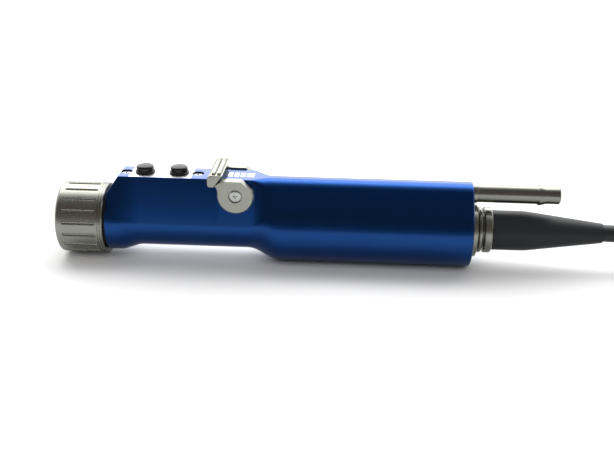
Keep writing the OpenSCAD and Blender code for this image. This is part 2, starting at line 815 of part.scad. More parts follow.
module shaft_seals() {
    color("#1a1a1a")
    for (i = [0, 1]) {
        x = socket_len + chamber_len + lip_seal_lead + i * lip_seal_pitch;
        ring_x(tunnel_r, shaft_r + run_gap, x, x + lip_seal_len);
    }
}

module bearing(from) { color("#a8abad") ring_x(bearing_r, shaft_r + run_gap, from, from + bearing_len); }
module front_bearing() { bearing(motor_x + can_front_t - bearing_len); }
module rear_bearing() { bearing(motor_end_x - bell_t); }

module rotor_magnet() {
    color("#5a5d60")
    ring_x(stator_in_r - magnet_gap, shaft_r, motor_x + can_front_t + stator_end + magnet_end,
           motor_end_x - bell_t - stator_end - magnet_end);
}

module stator_winding() {
    color("#b4692f")
    ring_x(motor_r - can_wall, stator_in_r, motor_x + can_front_t + stator_end,
           motor_end_x - bell_t - stator_end);
}

// Motor can, closed in front round the front bearing
module motor_can() {
    color("#7e8388")
    difference() {
        bar_x(motor_r, motor_x, motor_end_x);
        bar_x(motor_r - can_wall, motor_x + can_front_t, motor_end_x + overrun);
        bar_x(bearing_r, motor_x + can_front_t - bearing_len, motor_x + can_front_t + overrun);
        bar_x(shaft_r + overrun, motor_x - overrun, motor_x + can_front_t);
    }
}

module motor_end_bell() {
    color("#6d7276")
    difference() {
        bar_x(motor_r - can_wall, motor_end_x - bell_t, motor_end_x);
        bar_x(bearing_r, motor_end_x - bell_t - overrun, motor_end_x - bell_t + bearing_len);
    }
}

module motor_retainer() {
    color("#8a8d90") ring_x(cap_r, bearing_r, motor_end_x, motor_end_x + retainer_len);
}

module rear_cap() {
    color("#c4c6c4")
    turned([[cap_bore_r, body_end_x - cap_in_len], [cap_r, body_end_x - cap_in_len],
            [cap_r, cap_end_x - cap_chamfer], [cap_r - cap_chamfer, cap_end_x], [cap_bore_r, cap_end_x]]);
}

module cable_clamp() {
    color("#55585b")
    ring_x(cap_bore_r, cable_r, cap_end_x - gland_root_len - clamp_len, cap_end_x - gland_root_len);
}

module cable_core() { color("#2c2e30") bar_x(cable_r, motor_end_x, boot_end_x); }

// Gland: a root in the cap, a narrow ring and the neck that the nut screws on
module gland_body() {
    color("#b1b2ac")
    difference() {
        union() {
            bar_x(cap_bore_r, cap_end_x - gland_root_len, cap_end_x);
            bar_x(gland_neck_r, cap_end_x, nut_x + nut_seat_len);
            chamfered_ring(gland_x, gland_x + gland_ring_len);
        }
        bar_x(cable_r, cap_end_x - gland_root_len - overrun, boot_x);
    }
}

module chamfered_ring(from, to) {
    turned([[cable_r, from], [gland_r - gland_chamfer, from], [gland_r, from + gland_chamfer],
            [gland_r, to - gland_chamfer], [gland_r - gland_chamfer, to], [cable_r, to]]);
}

module gland_nut() {
    color("#b7b8b2")
    difference() {
        chamfered_ring(nut_x, boot_x);
        bar_x(gland_neck_r, nut_x - overrun, nut_x + nut_seat_len);
        bar_x(boot_root_r, nut_x, boot_x + overrun);
    }
}

module strain_relief_boot() {
    taper_x = boot_x + boot_straight_share * boot_len;
    color("#3a3c3d")
    turned([[cable_r, boot_x - boot_root_len], [boot_root_r, boot_x - boot_root_len], [boot_root_r, boot_x],
            [boot_r, boot_x], [boot_r, taper_x - boot_shoulder],
            [boot_r - boot_shoulder_drop, taper_x + boot_shoulder], [boot_tip_r, boot_end_x - boot_tip_round],
            [boot_tip_r - boot_tip_round, boot_end_x], [cable_r, boot_end_x]]);
}

// A stretch of cable through points that are counted from a start
module cable_along(points, start) {
    wire([for (p = points) p + start], [0, 0, 1], cable_r, cable_sides);
}

module cable_run() {
    color("#303234") cable_along(smooth_route(cable_route, route_steps), [boot_end_x, 0, 0]);
}

// An upright block with two round ends, as long between their centres as the hank's straight runs
module hank_block(r, from, to) {
    translate([hank_x, hank_y, 0]) bar_z(r, from, to);
    translate([hank_x + hank_run_len, hank_y, 0]) bar_z(r, from, to);
    translate([hank_x, hank_y - r, from]) cube([hank_run_len, 2 * r, to - from]);
}

module cable_coil() {
    color("#303234")
    difference() {
        hank_block(hank_out_r, table_h, table_h + hank_h);
        hank_block(hank_in_r, table_h - overrun, table_h + hank_h + overrun);
    }
}

module cable_tail() {
    color("#303234") cable_along(smooth_route(tail_route, route_steps), tail_start);
}

// The plug's place: its rear at the tail's end, its pins towards the handpiece
module plug_place() { translate(plug_start) rotate([0, 0, 180]) children(); }

// A piece of the plug, turned about its axis from points of radius and distance from the plug's rear
module plug_turned(points) { plug_place() turned(points); }

module plug_boot() {
    color("#3a3c3d")
    plug_turned([[0, 0], [plug_boot_tip_r, 0], [plug_boot_r, plug_boot_len - plug_chamfer],
                 [plug_boot_r, plug_boot_len], [0, plug_boot_len]]);
}

module plug_body() {
    from = plug_boot_len;
    to = from + plug_body_len;
    color("#b7b8b2")
    plug_turned([[0, from], [plug_body_r - plug_chamfer, from], [plug_body_r, from + plug_chamfer],
                 [plug_body_r, to], [0, to]]);
}

module plug_grip() {
    from = plug_boot_len + plug_body_len;
    to = from + plug_grip_len;
    color("#a9aaa6")
    difference() {
        plug_turned([[0, from], [plug_grip_r - plug_chamfer, from], [plug_grip_r, from + plug_chamfer],
                     [plug_grip_r, to - plug_chamfer], [plug_grip_r - plug_chamfer, to], [0, to]]);
        for (i = [0 : plug_flutes - 1])
            plug_place() rotate([360 * (i + 1 / 2) / plug_flutes, 0, 0])
                translate([0, 0, plug_grip_r]) bar_x(plug_flute_r, from - overrun, to + overrun, $fn = 16);
    }
}

module plug_shell() {
    from = plug_boot_len + plug_body_len + plug_grip_len;
    to = from + plug_shell_len;
    color("#c4c6c4")
    plug_turned([[plug_shell_r - plug_shell_wall, from], [plug_shell_r, from], [plug_shell_r, to],
                 [plug_shell_r - plug_shell_wall, to]]);
}

module plug_insert() {
    from = plug_boot_len + plug_body_len + plug_grip_len;
    inside_r = plug_shell_r - plug_shell_wall;
    color("#1d1d1f")
    plug_turned([[0, from], [inside_r, from], [inside_r, from + plug_insert_t], [0, from + plug_insert_t]]);
}

module plug_pins() {
    from = plug_boot_len + plug_body_len + plug_grip_len + plug_insert_t;
    color("#c9a448")
    for (i = [0 : plug_pin_count - 1])
        plug_place() rotate([360 * i / plug_pin_count, 0, 0])
            translate([0, 0, plug_shell_r * plug_pin_circle_share])
                bar_x(plug_pin_r, from, from + plug_pin_len, $fn = 24);
}

main_housing();
collet_ring();
nose_seal();
blade_socket();
locking_balls();
collet_spring();
collet_clip();
switch_plate();
plate_screws();
button_bezels();
front_button();
rear_button();
front_magnet();
rear_magnet();
front_dome();
rear_dome();
switch_board();
suction_lever();
lever_screws();
valve_spool();
valve_seals();
suction_tube();
tube_collar();
drive_coupling();
motor_shaft();
shaft_seals();
front_bearing();
rear_bearing();
rotor_magnet();
stator_winding();
motor_can();
motor_end_bell();
motor_retainer();
rear_cap();
cable_clamp();
cable_core();
gland_body();
gland_nut();
strain_relief_boot();
cable_run();
cable_coil();
cable_tail();
plug_boot();
plug_body();
plug_grip();
plug_shell();
plug_insert();
plug_pins();
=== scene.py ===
"""Looks of an arthroscopic shaver handpiece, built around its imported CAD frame.

Every shape is worked out in millimetres on the CAD's own axes: X from the blade socket to the cable, Z up
through the switches. A finished piece is scaled to metres, and its place stays in its mesh.
"""

from __future__ import annotations

import logging
import math
from dataclasses import dataclass, field
from enum import Enum
from typing import Callable, Sequence

import bmesh
import bpy
from mathutils import Matrix, Vector


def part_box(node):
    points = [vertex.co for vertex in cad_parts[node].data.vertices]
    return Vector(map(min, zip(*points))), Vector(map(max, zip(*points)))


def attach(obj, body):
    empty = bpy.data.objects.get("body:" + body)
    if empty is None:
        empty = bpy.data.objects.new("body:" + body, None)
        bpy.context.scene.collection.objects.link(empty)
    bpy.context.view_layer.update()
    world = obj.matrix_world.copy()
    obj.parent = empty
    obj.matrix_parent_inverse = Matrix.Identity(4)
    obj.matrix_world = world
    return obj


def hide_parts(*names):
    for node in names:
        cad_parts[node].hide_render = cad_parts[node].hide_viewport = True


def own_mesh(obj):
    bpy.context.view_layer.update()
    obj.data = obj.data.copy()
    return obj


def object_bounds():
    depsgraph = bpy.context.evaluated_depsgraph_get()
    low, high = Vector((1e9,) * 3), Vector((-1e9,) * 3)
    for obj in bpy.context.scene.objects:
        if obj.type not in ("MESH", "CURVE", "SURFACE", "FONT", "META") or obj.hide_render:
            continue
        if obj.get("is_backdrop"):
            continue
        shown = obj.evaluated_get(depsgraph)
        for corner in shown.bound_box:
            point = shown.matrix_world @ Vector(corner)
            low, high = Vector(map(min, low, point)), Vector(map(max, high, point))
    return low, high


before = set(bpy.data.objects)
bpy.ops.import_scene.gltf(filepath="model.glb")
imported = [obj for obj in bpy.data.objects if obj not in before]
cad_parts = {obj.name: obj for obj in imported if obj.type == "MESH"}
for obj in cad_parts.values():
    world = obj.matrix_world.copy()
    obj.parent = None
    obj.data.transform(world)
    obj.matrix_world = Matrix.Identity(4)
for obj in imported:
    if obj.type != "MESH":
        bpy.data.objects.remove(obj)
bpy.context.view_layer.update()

LOG = logging.getLogger("handpiece")
MM = 0.001
MERGE_MM = 1e-4
ROUND_STEPS = 144
SMALL_STEPS = 48
OVERRUN = 1.0
CLEARANCE = 0.05

Point2 = tuple[float, float]
Point3 = tuple[float, float, float]
Place = Sequence[float]
Solid = bmesh.types.BMesh
Piece = bpy.types.Object


class Along(Enum):
    """Direction that a turned or extruded piece runs in, as the turn that takes local X there."""

    REARWARD = Matrix.Identity(4)
    FORWARD = Matrix.Rotation(math.pi, 4, "Z")
    UP = Matrix.Rotation(-math.pi / 2, 4, "Y")
    NEAR = Matrix.Rotation(-math.pi / 2, 4, "Z")
    FAR = Matrix.Rotation(math.pi / 2, 4, "Z")

    def placed(self, origin: Place) -> Matrix:
        """Matrix that turns a piece this way and puts its local origin at a point, in millimetres."""
        return Matrix.Translation(Vector(origin)) @ self.value


class Combine(Enum):
    """What a boolean does with its tools."""

    CUT = "DIFFERENCE"
    JOIN = "UNION"


class Grain(Enum):
    """Direction of a metal's working marks, as their stretch along X, Y and Z."""

    TURNED = (1.0, 0.02, 0.02)
    DRAWN = (0.02, 1.0, 1.0)
    GROUND = (1.0, 0.02, 1.0)
    BLASTED = (1.0, 1.0, 1.0)


def span(node: str) -> tuple[Vector, Vector]:
    """Lowest and highest corner of a CAD node in millimetres."""
    low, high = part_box(node)
    return low / MM, high / MM


def ease(share: float) -> float:
    """Smooth step from 0 to 1 with level ends."""
    return (1 - math.cos(math.pi * max(0.0, min(1.0, share)))) / 2


def arc(centre: Point2, radius: float, start: float, end: float, steps: int) -> list[Point2]:
    """Points along an arc.

    Args:
        centre: Centre of the arc.
        radius: Radius in millimetres.
        start: First angle in degrees.
        end: Last angle in degrees.
        steps: Number of steps from the first point to the last.

    Returns:
        The points, ends included.
    """
    angles = [math.radians(start + (end - start) * i / steps) for i in range(steps + 1)]
    return [(centre[0] + radius * math.cos(a), centre[1] + radius * math.sin(a)) for a in angles]


def edge_chain(mesh: Solid, points: Sequence[Vector], closed: bool) -> list:
    """Joins points by edges.

    Args:
        mesh: Mesh that gets the points.
        points: Places in millimetres.
        closed: Whether the last point joins the first.

    Returns:
        The new vertices and edges.
    """
    verts = [mesh.verts.new(point) for point in points]
    edges = [mesh.edges.new(pair) for pair in zip(verts, verts[1:])]
    if closed:
        edges.append(mesh.edges.new((verts[-1], verts[0])))
    return verts + edges


def turned(profile: Sequence[Point2], along: Along = Along.REARWARD, origin: Place = (0, 0, 0),
           steps: int = ROUND_STEPS) -> Solid:
    """A solid turned on the lathe.

    Args:
        profile: Points of distance along the axis and radius. Where both ends have no radius the
            profile stays open and meets the axis there, otherwise it closes on itself.
        along: Direction of the axis.
        origin: Where the axis starts, in millimetres.
        steps: Steps round the axis.

    Returns:
        The closed solid.
    """
    mesh = bmesh.new()
    on_axis = profile[0][1] == 0 and profile[-1][1] == 0
    chain = edge_chain(mesh, [Vector((x, 0, r)) for x, r in profile], closed=not on_axis)
    bmesh.ops.spin(mesh, geom=chain, cent=(0, 0, 0), axis=(1, 0, 0), angle=2 * math.pi, steps=steps,
                   use_merge=True)
    bmesh.ops.remove_doubles(mesh, verts=mesh.verts, dist=MERGE_MM)
    bmesh.ops.recalc_face_normals(mesh, faces=mesh.faces)
    bmesh.ops.transform(mesh, matrix=along.placed(origin), verts=mesh.verts)
    return mesh


def bar(radius: float, start: float, end: float, along: Along = Along.REARWARD,
        origin: Place = (0, 0, 0), steps: int = ROUND_STEPS) -> Solid:
    """A plain round bar from one distance to another along its axis."""
    return turned([(start, 0), (start, radius), (end, radius), (end, 0)], along, origin, steps)


def slab(outline: Sequence[Point2], start: float, end: float, along: Along, origin: Place,
         bevel: float = 0.0, bevel_steps: int = 3) -> Solid:
    """A plate cut to an outline, with its rims rounded.

    Args:
        outline: Points in the plane square to the direction, as seen with that direction's local Y
            and Z.
        start: Where the plate starts along its direction.
        end: Where the plate ends along its direction.
        along: Direction of the thickness.
        origin: Local origin in millimetres.
        bevel: Rounding of both rims.
        bevel_steps: Steps of the rounding.

    Returns:
        The closed solid.
    """
    mesh = bmesh.new()
    chain = edge_chain(mesh, [Vector((start, y, z)) for y, z in outline], closed=True)
    face = bmesh.ops.contextual_create(mesh, geom=chain)["faces"]
    grown = bmesh.ops.extrude_face_region(mesh, geom=face)["geom"]
    moved = [item for item in grown if isinstance(item, bmesh.types.BMVert)]
    bmesh.ops.translate(mesh, vec=(end - start, 0, 0), verts=moved)
    bmesh.ops.recalc_face_normals(mesh, faces=mesh.faces)
    if bevel:
        rims = [edge for edge in mesh.edges if abs(edge.verts[0].co.x - edge.verts[1].co.x) < MERGE_MM]
        bmesh.ops.bevel(mesh, geom=rims, offset=bevel, segments=bevel_steps, profile=0.5, affect="EDGES",
                        material=-1, clamp_overlap=True)
    bmesh.ops.transform(mesh, matrix=along.placed(origin), verts=mesh.verts)
    return mesh


def block(low: Place, high: Place, bevel: float = 0.0) -> Solid:
    """A block between two corners in millimetres, with rounded edges."""
    mesh = bmesh.new()
    bmesh.ops.create_cube(mesh, size=1)
    sides = Vector(high) - Vector(low)
    bmesh.ops.scale(mesh, vec=sides, verts=mesh.verts)
    bmesh.ops.translate(mesh, vec=(Vector(high) + Vector(low)) / 2, verts=mesh.verts)
    if bevel:
        bmesh.ops.bevel(mesh, geom=mesh.edges, offset=bevel, segments=3, profile=0.5, affect="EDGES",
                        material=-1, clamp_overlap=True)
    return mesh


def gathered(parts: Sequence[Solid]) -> Solid:
    """Puts separate meshes into one and frees them."""
    whole = bmesh.new()
    for part in parts:
        carrier = bpy.data.meshes.new("carrier")
        part.to_mesh(carrier)
        whole.from_mesh(carrier)
        bpy.data.meshes.remove(carrier)
        part.free()
    return whole


def combined(base: Solid, tools: Sequence[Solid], how: Combine) -> Solid:
    """Cuts tools out of a mesh, or joins them to it, one after the other.

    Args:
        base: Closed mesh to work on, which is freed.
        tools: Closed meshes, which are freed.
        how: Cut or join.

    Returns:
        The new mesh.
    """
    helpers = []
    for number, part in enumerate([base, *tools]):
        data = bpy.data.meshes.new(f"helper_{number}")
        part.to_mesh(data)
        part.free()
        helpers.append(bpy.data.objects.new(data.name, data))
        bpy.context.scene.collection.objects.link(helpers[-1])
    for helper in helpers[1:]:
        work = helpers[0].modifiers.new(helper.name, "BOOLEAN")
        work.object = helper
        work.operation = how.value
        work.solver = "MANIFOLD"
    shown = helpers[0].evaluated_get(bpy.context.evaluated_depsgraph_get())
    result = bmesh.new()
    result.from_mesh(shown.to_mesh())
    shown.to_mesh_clear()
    for helper in helpers:
        data = helper.data
        bpy.data.objects.remove(helper)
        bpy.data.meshes.remove(data)
    return result


def ring_copies(make: Callable[[], Solid], count: int, centre: Place = (0, 0, 0),
                first: float = 0.0) -> list[Solid]:
    """Copies of a mesh turned evenly about an axis along X.

    Args:
        make: Function that builds one copy.
        count: Number of copies.
        centre: A point on the axis, in millimetres.
        first: Turn of the first copy in degrees.

    Returns:
        The turned meshes.
    """
    copies = []
    for number in range(count):
        copy = make()
        turn = Matrix.Rotation(math.radians(first + 360 * number / count), 4, "X")
        bmesh.ops.rotate(copy, cent=centre, matrix=turn, verts=copy.verts)
        copies.append(copy)
    return copies


def finished(mesh: Solid, name: str, finish: Finish, body: str = "root",
             replaces: Sequence[str] = (), sharp: float = 32.0) -> Piece:
    """Turns a mesh in millimetres into a piece of the object.

    Args:
        mesh: Closed mesh, which is freed.
        name: Name of the piece.
        finish: Its finish.
        body: CAD body that it rides on.
        replaces: CAD nodes that it stands for.
        sharp: Angle in degrees past which an edge stays sharp.

    Returns:
        The piece.
    """
    bmesh.ops.remove_doubles(mesh, verts=mesh.verts, dist=MERGE_MM)
    bmesh.ops.scale(mesh, vec=(MM, MM, MM), verts=mesh.verts)
    data = bpy.data.meshes.new(name)
    mesh.to_mesh(data)
    mesh.free()
    data.shade_smooth()
    data.set_sharp_from_angle(angle=math.radians(sharp))
    data.materials.append(finish.material())
    piece = bpy.data.objects.new(name, data)
    bpy.context.scene.collection.objects.link(piece)
    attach(piece, body)
    if replaces:
        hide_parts(*replaces)
    LOG.info("%s: %d faces on %s", name, len(data.polygons), body)
    return piece


def linear_colour(code: str) -> tuple[float, float, float, float]:
    """Linear red, green, blue and alpha of an sRGB hex colour such as #1d2c3b."""
    channels = [int(code[i : i + 2], 16) / 255 for i in (1, 3, 5)]
    linear = [c / 12.92 if c <= 0.04045 else ((c + 0.055) / 1.055) ** 2.4 for c in channels]
    return (linear[0], linear[1], linear[2], 1.0)


def add_node(tree: bpy.types.NodeTree, kind: str, settings: dict | None = None,
             links: dict | None = None) -> bpy.types.Node:
    """Adds one node with its settings and links.

    Args:
        tree: Tree that gets the node.
        kind: Type of node.
        settings: Values of its properties, or of its inputs by name or number.
        links: Outputs that its inputs are joined to, by name or number.

    Returns:
        The node.
    """
    node = tree.nodes.new(kind)
    for key, value in (settings or {}).items():
        if isinstance(key, str) and hasattr(node, key):
            setattr(node, key, value)
        else:
            node.inputs[key].default_value = value
    for key, output in (links or {}).items():
        tree.links.new(output, node.inputs[key])
    return node


@dataclass(frozen=True)
class Finish:
    """A surface finish, with the small variation that keeps it from being one flat colour.

    Attributes:
        name: What it is and how it was made.
        colour: Its colour as an sRGB hex value.
        shade: The colour in its darker patches.
        roughness: Mean roughness.
        roughness_spread: How far the roughness goes to either side.
        metallic: 1 for bare metal, 0 for anything else.
        grain: Direction of its working marks.
        grain_mm: Distance between working marks.
        bump_mm: Height of the working marks.
        patch_mm: Size of the patches of colour.
        settings: Further values on the shader's own sockets.
    """

    name: str
    colour: str
    shade: str
    roughness: float
    roughness_spread: float = 0.05
    metallic: float = 0.0
    grain: Grain = Grain.BLASTED
    grain_mm: float = 0.6
    bump_mm: float = 0.004
    patch_mm: float = 9.0
    settings: tuple[tuple[str, float], ...] = ()

    def material(self) -> bpy.types.Material:
        """The finish as a material, made once and then shared."""
        made = bpy.data.materials.get(self.name)
        if made:
            return made
        made = bpy.data.materials.new(self.name)
        made.use_nodes = True
        made.diffuse_color = linear_colour(self.colour)
        tree = made.node_tree
        tree.nodes.clear()
        place = add_node(tree, "ShaderNodeTexCoord").outputs["Object"]
        patches = self.pattern(tree, place, self.patch_mm, (1.0, 1.0, 1.0), 3.0)
        marks = self.pattern(tree, place, self.grain_mm, self.grain.value, 4.0)
        tone = add_node(tree, "ShaderNodeMix",
                        {"data_type": "RGBA", 6: linear_colour(self.shade), 7: linear_colour(self.colour)},
                        {0: patches})
        rough = add_node(tree, "ShaderNodeMapRange",
                         {"To Min": self.roughness - self.roughness_spread,
                          "To Max": self.roughness + self.roughness_spread},
                         {"Value": marks})
        bump = add_node(tree, "ShaderNodeBump", {"Strength": 1.0, "Distance": self.bump_mm * MM},
                        {"Height": marks})
        shader = add_node(tree, "ShaderNodeBsdfPrincipled",
                          {"Metallic": self.metallic, **dict(self.settings)},
                          {"Base Color": tone.outputs[2], "Roughness": rough.outputs["Result"],
                           "Normal": bump.outputs["Normal"]})
        add_node(tree, "ShaderNodeOutputMaterial", None, {"Surface": shader.outputs["BSDF"]})
        return made

    def pattern(self, tree: bpy.types.NodeTree, place: bpy.types.NodeSocket, size_mm: float,
                stretch: Sequence[float], detail: float) -> bpy.types.NodeSocket:
        """Noise of a real size on the piece.

        Args:
            tree: Tree that gets the nodes.
            place: Output that gives the place on the piece, in metres.
            size_mm: Size of one patch or mark.
            stretch: Shares of the pattern's rate along X, Y and Z.
            detail: Detail of the noise.

        Returns:
            The output of the noise, from 0 to 1.
        """
        rate = [share / (size_mm * MM) for share in stretch]
        scaled = add_node(tree, "ShaderNodeMapping", {"Scale": rate}, {"Vector": place})
        noise = add_node(tree, "ShaderNodeTexNoise", {"Scale": 1.0, "Detail": detail, "Roughness": 0.55},
                         {"Vector": scaled.outputs["Vector"]})
        return noise.outputs["Fac"]


class Finishes:
    """Every finish on the handpiece. Grain finer than a pixel is drawn as coarse as it needs to show."""

    # Aluminium, bead blasted and dyed in the anodising bath: deep satin blue with soft wide highlights
    anodised = Finish("blue_anodised_aluminium", "#00468f", "#003e83", 0.26, 0.03, 1.0, Grain.BLASTED, 0.5,
                      0.002, settings=(("Coat Weight", 0.4), ("Coat Roughness", 0.12), ("Coat IOR", 1.5)))
    # Stainless steel, turned and then passivated: warm grey with faint lines round the axis
    turned_steel = Finish("turned_stainless_steel", "#aaaaa1", "#9c9c92", 0.27, 0.05, 1.0, Grain.TURNED, 0.3,
                          0.003)
    # Stainless steel, milled and tumbled: the same grey without a direction
    tumbled_steel = Finish("tumbled_stainless_steel", "#b4b4ab", "#a7a79d", 0.31, 0.05, 1.0, Grain.BLASTED, 0.5,
                           0.004)
    # Stainless sheet, ground across: light and bright
    ground_steel = Finish("ground_stainless_sheet", "#d9dadb", "#cfd0d1", 0.30, 0.06, 1.0, Grain.GROUND, 0.25,
                          0.003)
    # Stainless tube, drawn: streaks along its length
    drawn_tube = Finish("drawn_stainless_tube", "#9fa096", "#909186", 0.24, 0.05, 1.0, Grain.DRAWN, 0.25, 0.003)
    # Machine screws, turned and barrel polished
    screw_steel = Finish("polished_screw_steel", "#d2d3d0", "#c3c4c1", 0.22, 0.04, 1.0, Grain.BLASTED, 0.4,
                         0.002)
    # Spring wire, drawn and heat treated: darker grey
    spring_wire = Finish("drawn_spring_wire", "#a3a6aa", "#8f9296", 0.3, 0.05, 1.0, Grain.DRAWN, 0.3, 0.003)
    # Brass, turned and nickel plated: slightly warm and smoother than steel
    nickel = Finish("satin_nickel_plate", "#a9a99f", "#9c9c92", 0.24, 0.04, 1.0, Grain.TURNED, 0.3, 0.002)
    # Silicone seal, moulded: matt black
    seal_rubber = Finish("moulded_black_silicone", "#101114", "#0b0c0e", 0.55, 0.08, 0.0, Grain.BLASTED, 0.5,
                         0.01)
    # Silicone boot, moulded in a polished tool: dark grey with a soft wide sheen
    boot_rubber = Finish("satin_grey_silicone", "#2b2d2f", "#242628", 0.46, 0.05, 0.0, Grain.BLASTED, 0.8,
                         0.006, settings=(("Specular IOR Level", 0.3),))
    # Cable jacket, extruded silicone: nearly black with faint lines along it
    jacket = Finish("extruded_cable_jacket", "#232527", "#1d1f21", 0.45, 0.06, 0.0, Grain.BLASTED, 0.8, 0.008)
    # Button caps, moulded in a polished tool: glossy black
    button_rubber = Finish("glossy_button_rubber", "#0c0b0b", "#080808", 0.28, 0.05, 0.0, Grain.BLASTED, 0.6,
                           0.004)
    # Glass filled polyamide, moulded: matt black with a slight grain
    moulded_black = Finish("glass_filled_polyamide", "#151517", "#101012", 0.5, 0.06, 0.0, Grain.BLASTED, 0.4,
                           0.01)
    # Magnets, nickel plated: smooth and cool grey
    magnet_nickel = Finish("bright_nickel_magnet", "#bfc0c4", "#b2b3b8", 0.18, 0.03, 1.0, Grain.BLASTED, 0.6,
                           0.001)
    # Circuit board under solder mask: dark green, glossy
    board = Finish("coated_circuit_board", "#1c5c33", "#174c2b", 0.35, 0.05, 0.0, Grain.BLASTED, 0.7, 0.004)
    # Enamelled winding wire: orange brown
    winding = Finish("enamelled_copper_wire", "#b2642a", "#93501f", 0.32, 0.06, 1.0, Grain.TURNED, 0.4, 0.02)
    # Motor parts, zinc plated steel: grey with streaks
    motor_steel = Finish("plated_motor_steel", "#8e9296", "#7e8286", 0.34, 0.06, 1.0, Grain.TURNED, 0.4, 0.004)
    # Plug contacts, gold plated
    gold = Finish("gold_plated_contact", "#d3a548", "#c4953c", 0.2, 0.03, 1.0, Grain.DRAWN, 0.3, 0.001)
    # Hook and loop strap, woven: matt dark grey
    strap = Finish("woven_hook_and_loop", "#1b1d20", "#0f1012", 0.85, 0.05, 0.0, Grain.BLASTED, 0.5, 0.06)


@dataclass
class Studio:
    """White table, soft light and the camera.

    Attributes:
        camera_m: Place of the camera.
        yaw: Turn of the view to the left, in degrees.
        pitch: Tilt of the view below the horizon, in degrees.
        roll: Roll of the camera, in degrees.
        lens_mm: Focal length on a sensor 36 mm wide.
        table_m: Half width of the table.
        table_colour: Colour of the table in the picture.
        reflected_colour: Colour of the table in the metal.
        aim_m: Point on the handpiece that the lamps point at.
        lamps: Name, place, width and depth in metres, and watts of each softbox. The last only fills the
            shadow in front, and doesn't show in the metal.
    """

    camera_m: tuple[float, float, float] = (0.12051, -0.35175, 0.13923)
    yaw: float = 2.889
    pitch: float = 22.0
    roll: float = 0.827
    lens_mm: float = 53.12
    sensor_mm: float = 36.0
    table_m: float = 6.0
    table_colour: str = "#f9f9f9"
    reflected_colour: str = "#cdcfcf"
    aim_m: Point3 = (0.1, 0.0, 0.0)
    lamps: tuple[tuple[str, Point3, Point2, float], ...] = (
        ("rear_softbox", (0.12, 1.10, 1.00), (3.0, 1.6), 26.0),
        ("top_softbox", (0.12, 0.62, 1.35), (2.6, 0.9), 8.5),
        ("front_fill", (0.12, -0.90, 0.90), (2.0, 1.0), 6.5))

    def build(self) -> None:
        """Makes the camera, the table, the sky of the studio and its lamps."""
        self.make_camera()
        self.make_table()
        self.make_surroundings()
        made = [self.make_lamp(*lamp) for lamp in self.lamps]
        made[-1].visible_glossy = False
        view = bpy.context.scene.view_settings
        view.view_transform = "Standard"
        view.look = "None"

    def make_camera(self) -> None:
        """Puts the camera where the photograph was taken from."""
        data = bpy.data.cameras.new("camera")
        data.lens = self.lens_mm
        data.sensor_width = self.sensor_mm
        data.clip_start = 0.01
        data.clip_end = 50.0
        yaw, pitch, roll = (math.radians(a) for a in (self.yaw, self.pitch, self.roll))
        forward = Vector((-math.sin(yaw) * math.cos(pitch), math.cos(yaw) * math.cos(pitch), -math.sin(pitch)))
        level = Vector((math.cos(yaw), math.sin(yaw), 0.0))
        upright = level.cross(forward)
        right = level * math.cos(roll) + upright * math.sin(roll)
        up = upright * math.cos(roll) - level * math.sin(roll)
        turn = Matrix((right, up, -forward)).transposed().to_4x4()
        camera = bpy.data.objects.new("camera", data)
        camera.matrix_world = Matrix.Translation(Vector(self.camera_m)) @ turn
        bpy.context.scene.collection.objects.link(camera)
        bpy.context.scene.camera = camera

    def make_table(self) -> None:
        """Lays the white table under the handpiece."""
        mesh = bmesh.new()
        bmesh.ops.create_grid(mesh, x_segments=1, y_segments=1, size=self.table_m)
        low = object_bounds()[0]
        bmesh.ops.translate(mesh, vec=(0, 0, low.z), verts=mesh.verts)
        data = bpy.data.meshes.new("table")
        mesh.to_mesh(data)
        mesh.free()
        data.materials.append(self.table_material())
        table = bpy.data.objects.new("table", data)
        bpy.context.scene.collection.objects.link(table)
        table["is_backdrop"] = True

    def table_material(self) -> bpy.types.Material:
        """Matt white laminate, which the metal reflects darker than the overexposed picture shows it."""
        paper = bpy.data.materials.new("matt_white_laminate")
        paper.use_nodes = True
        tree = paper.node_tree
        tree.nodes.clear()
        path = add_node(tree, "ShaderNodeLightPath")
        tone = add_node(tree, "ShaderNodeMix",
                        {"data_type": "RGBA", 6: linear_colour(self.reflected_colour),
                         7: linear_colour(self.table_colour)}, {0: path.outputs["Is Camera Ray"]})
        shader = add_node(tree, "ShaderNodeBsdfDiffuse", None, {"Color": tone.outputs[2]})
        add_node(tree, "ShaderNodeOutputMaterial", None, {"Surface": shader.outputs["BSDF"]})
        return paper

    def make_surroundings(self) -> None:
        """Lights the room: dark in front of the handpiece, bright above and behind it."""
        world = bpy.data.worlds.new("studio")
        bpy.context.scene.world = world
        world.use_nodes = True
        tree = world.node_tree
        tree.nodes.clear()
        way = add_node(tree, "ShaderNodeTexCoord")
        parts = add_node(tree, "ShaderNodeSeparateXYZ", None, {"Vector": way.outputs["Generated"]})
        front = add_node(tree, "ShaderNodeMath", {"operation": "MULTIPLY", 1: -1.0}, {0: parts.outputs["Y"]})
        angle = add_node(tree, "ShaderNodeMath", {"operation": "ARCTAN2"},
                         {0: parts.outputs["Z"], 1: front.outputs[0]})
        share = add_node(tree, "ShaderNodeMath", {"operation": "DIVIDE", 1: math.pi}, {0: angle.outputs[0]})
        ramp = add_node(tree, "ShaderNodeValToRGB", None, {"Fac": share.outputs[0]})
        self.fill_ramp(ramp.color_ramp)
        light = add_node(tree, "ShaderNodeBackground", {"Strength": 1.0}, {"Color": ramp.outputs["Color"]})
        add_node(tree, "ShaderNodeOutputWorld", None, {"Surface": light.outputs["Background"]})

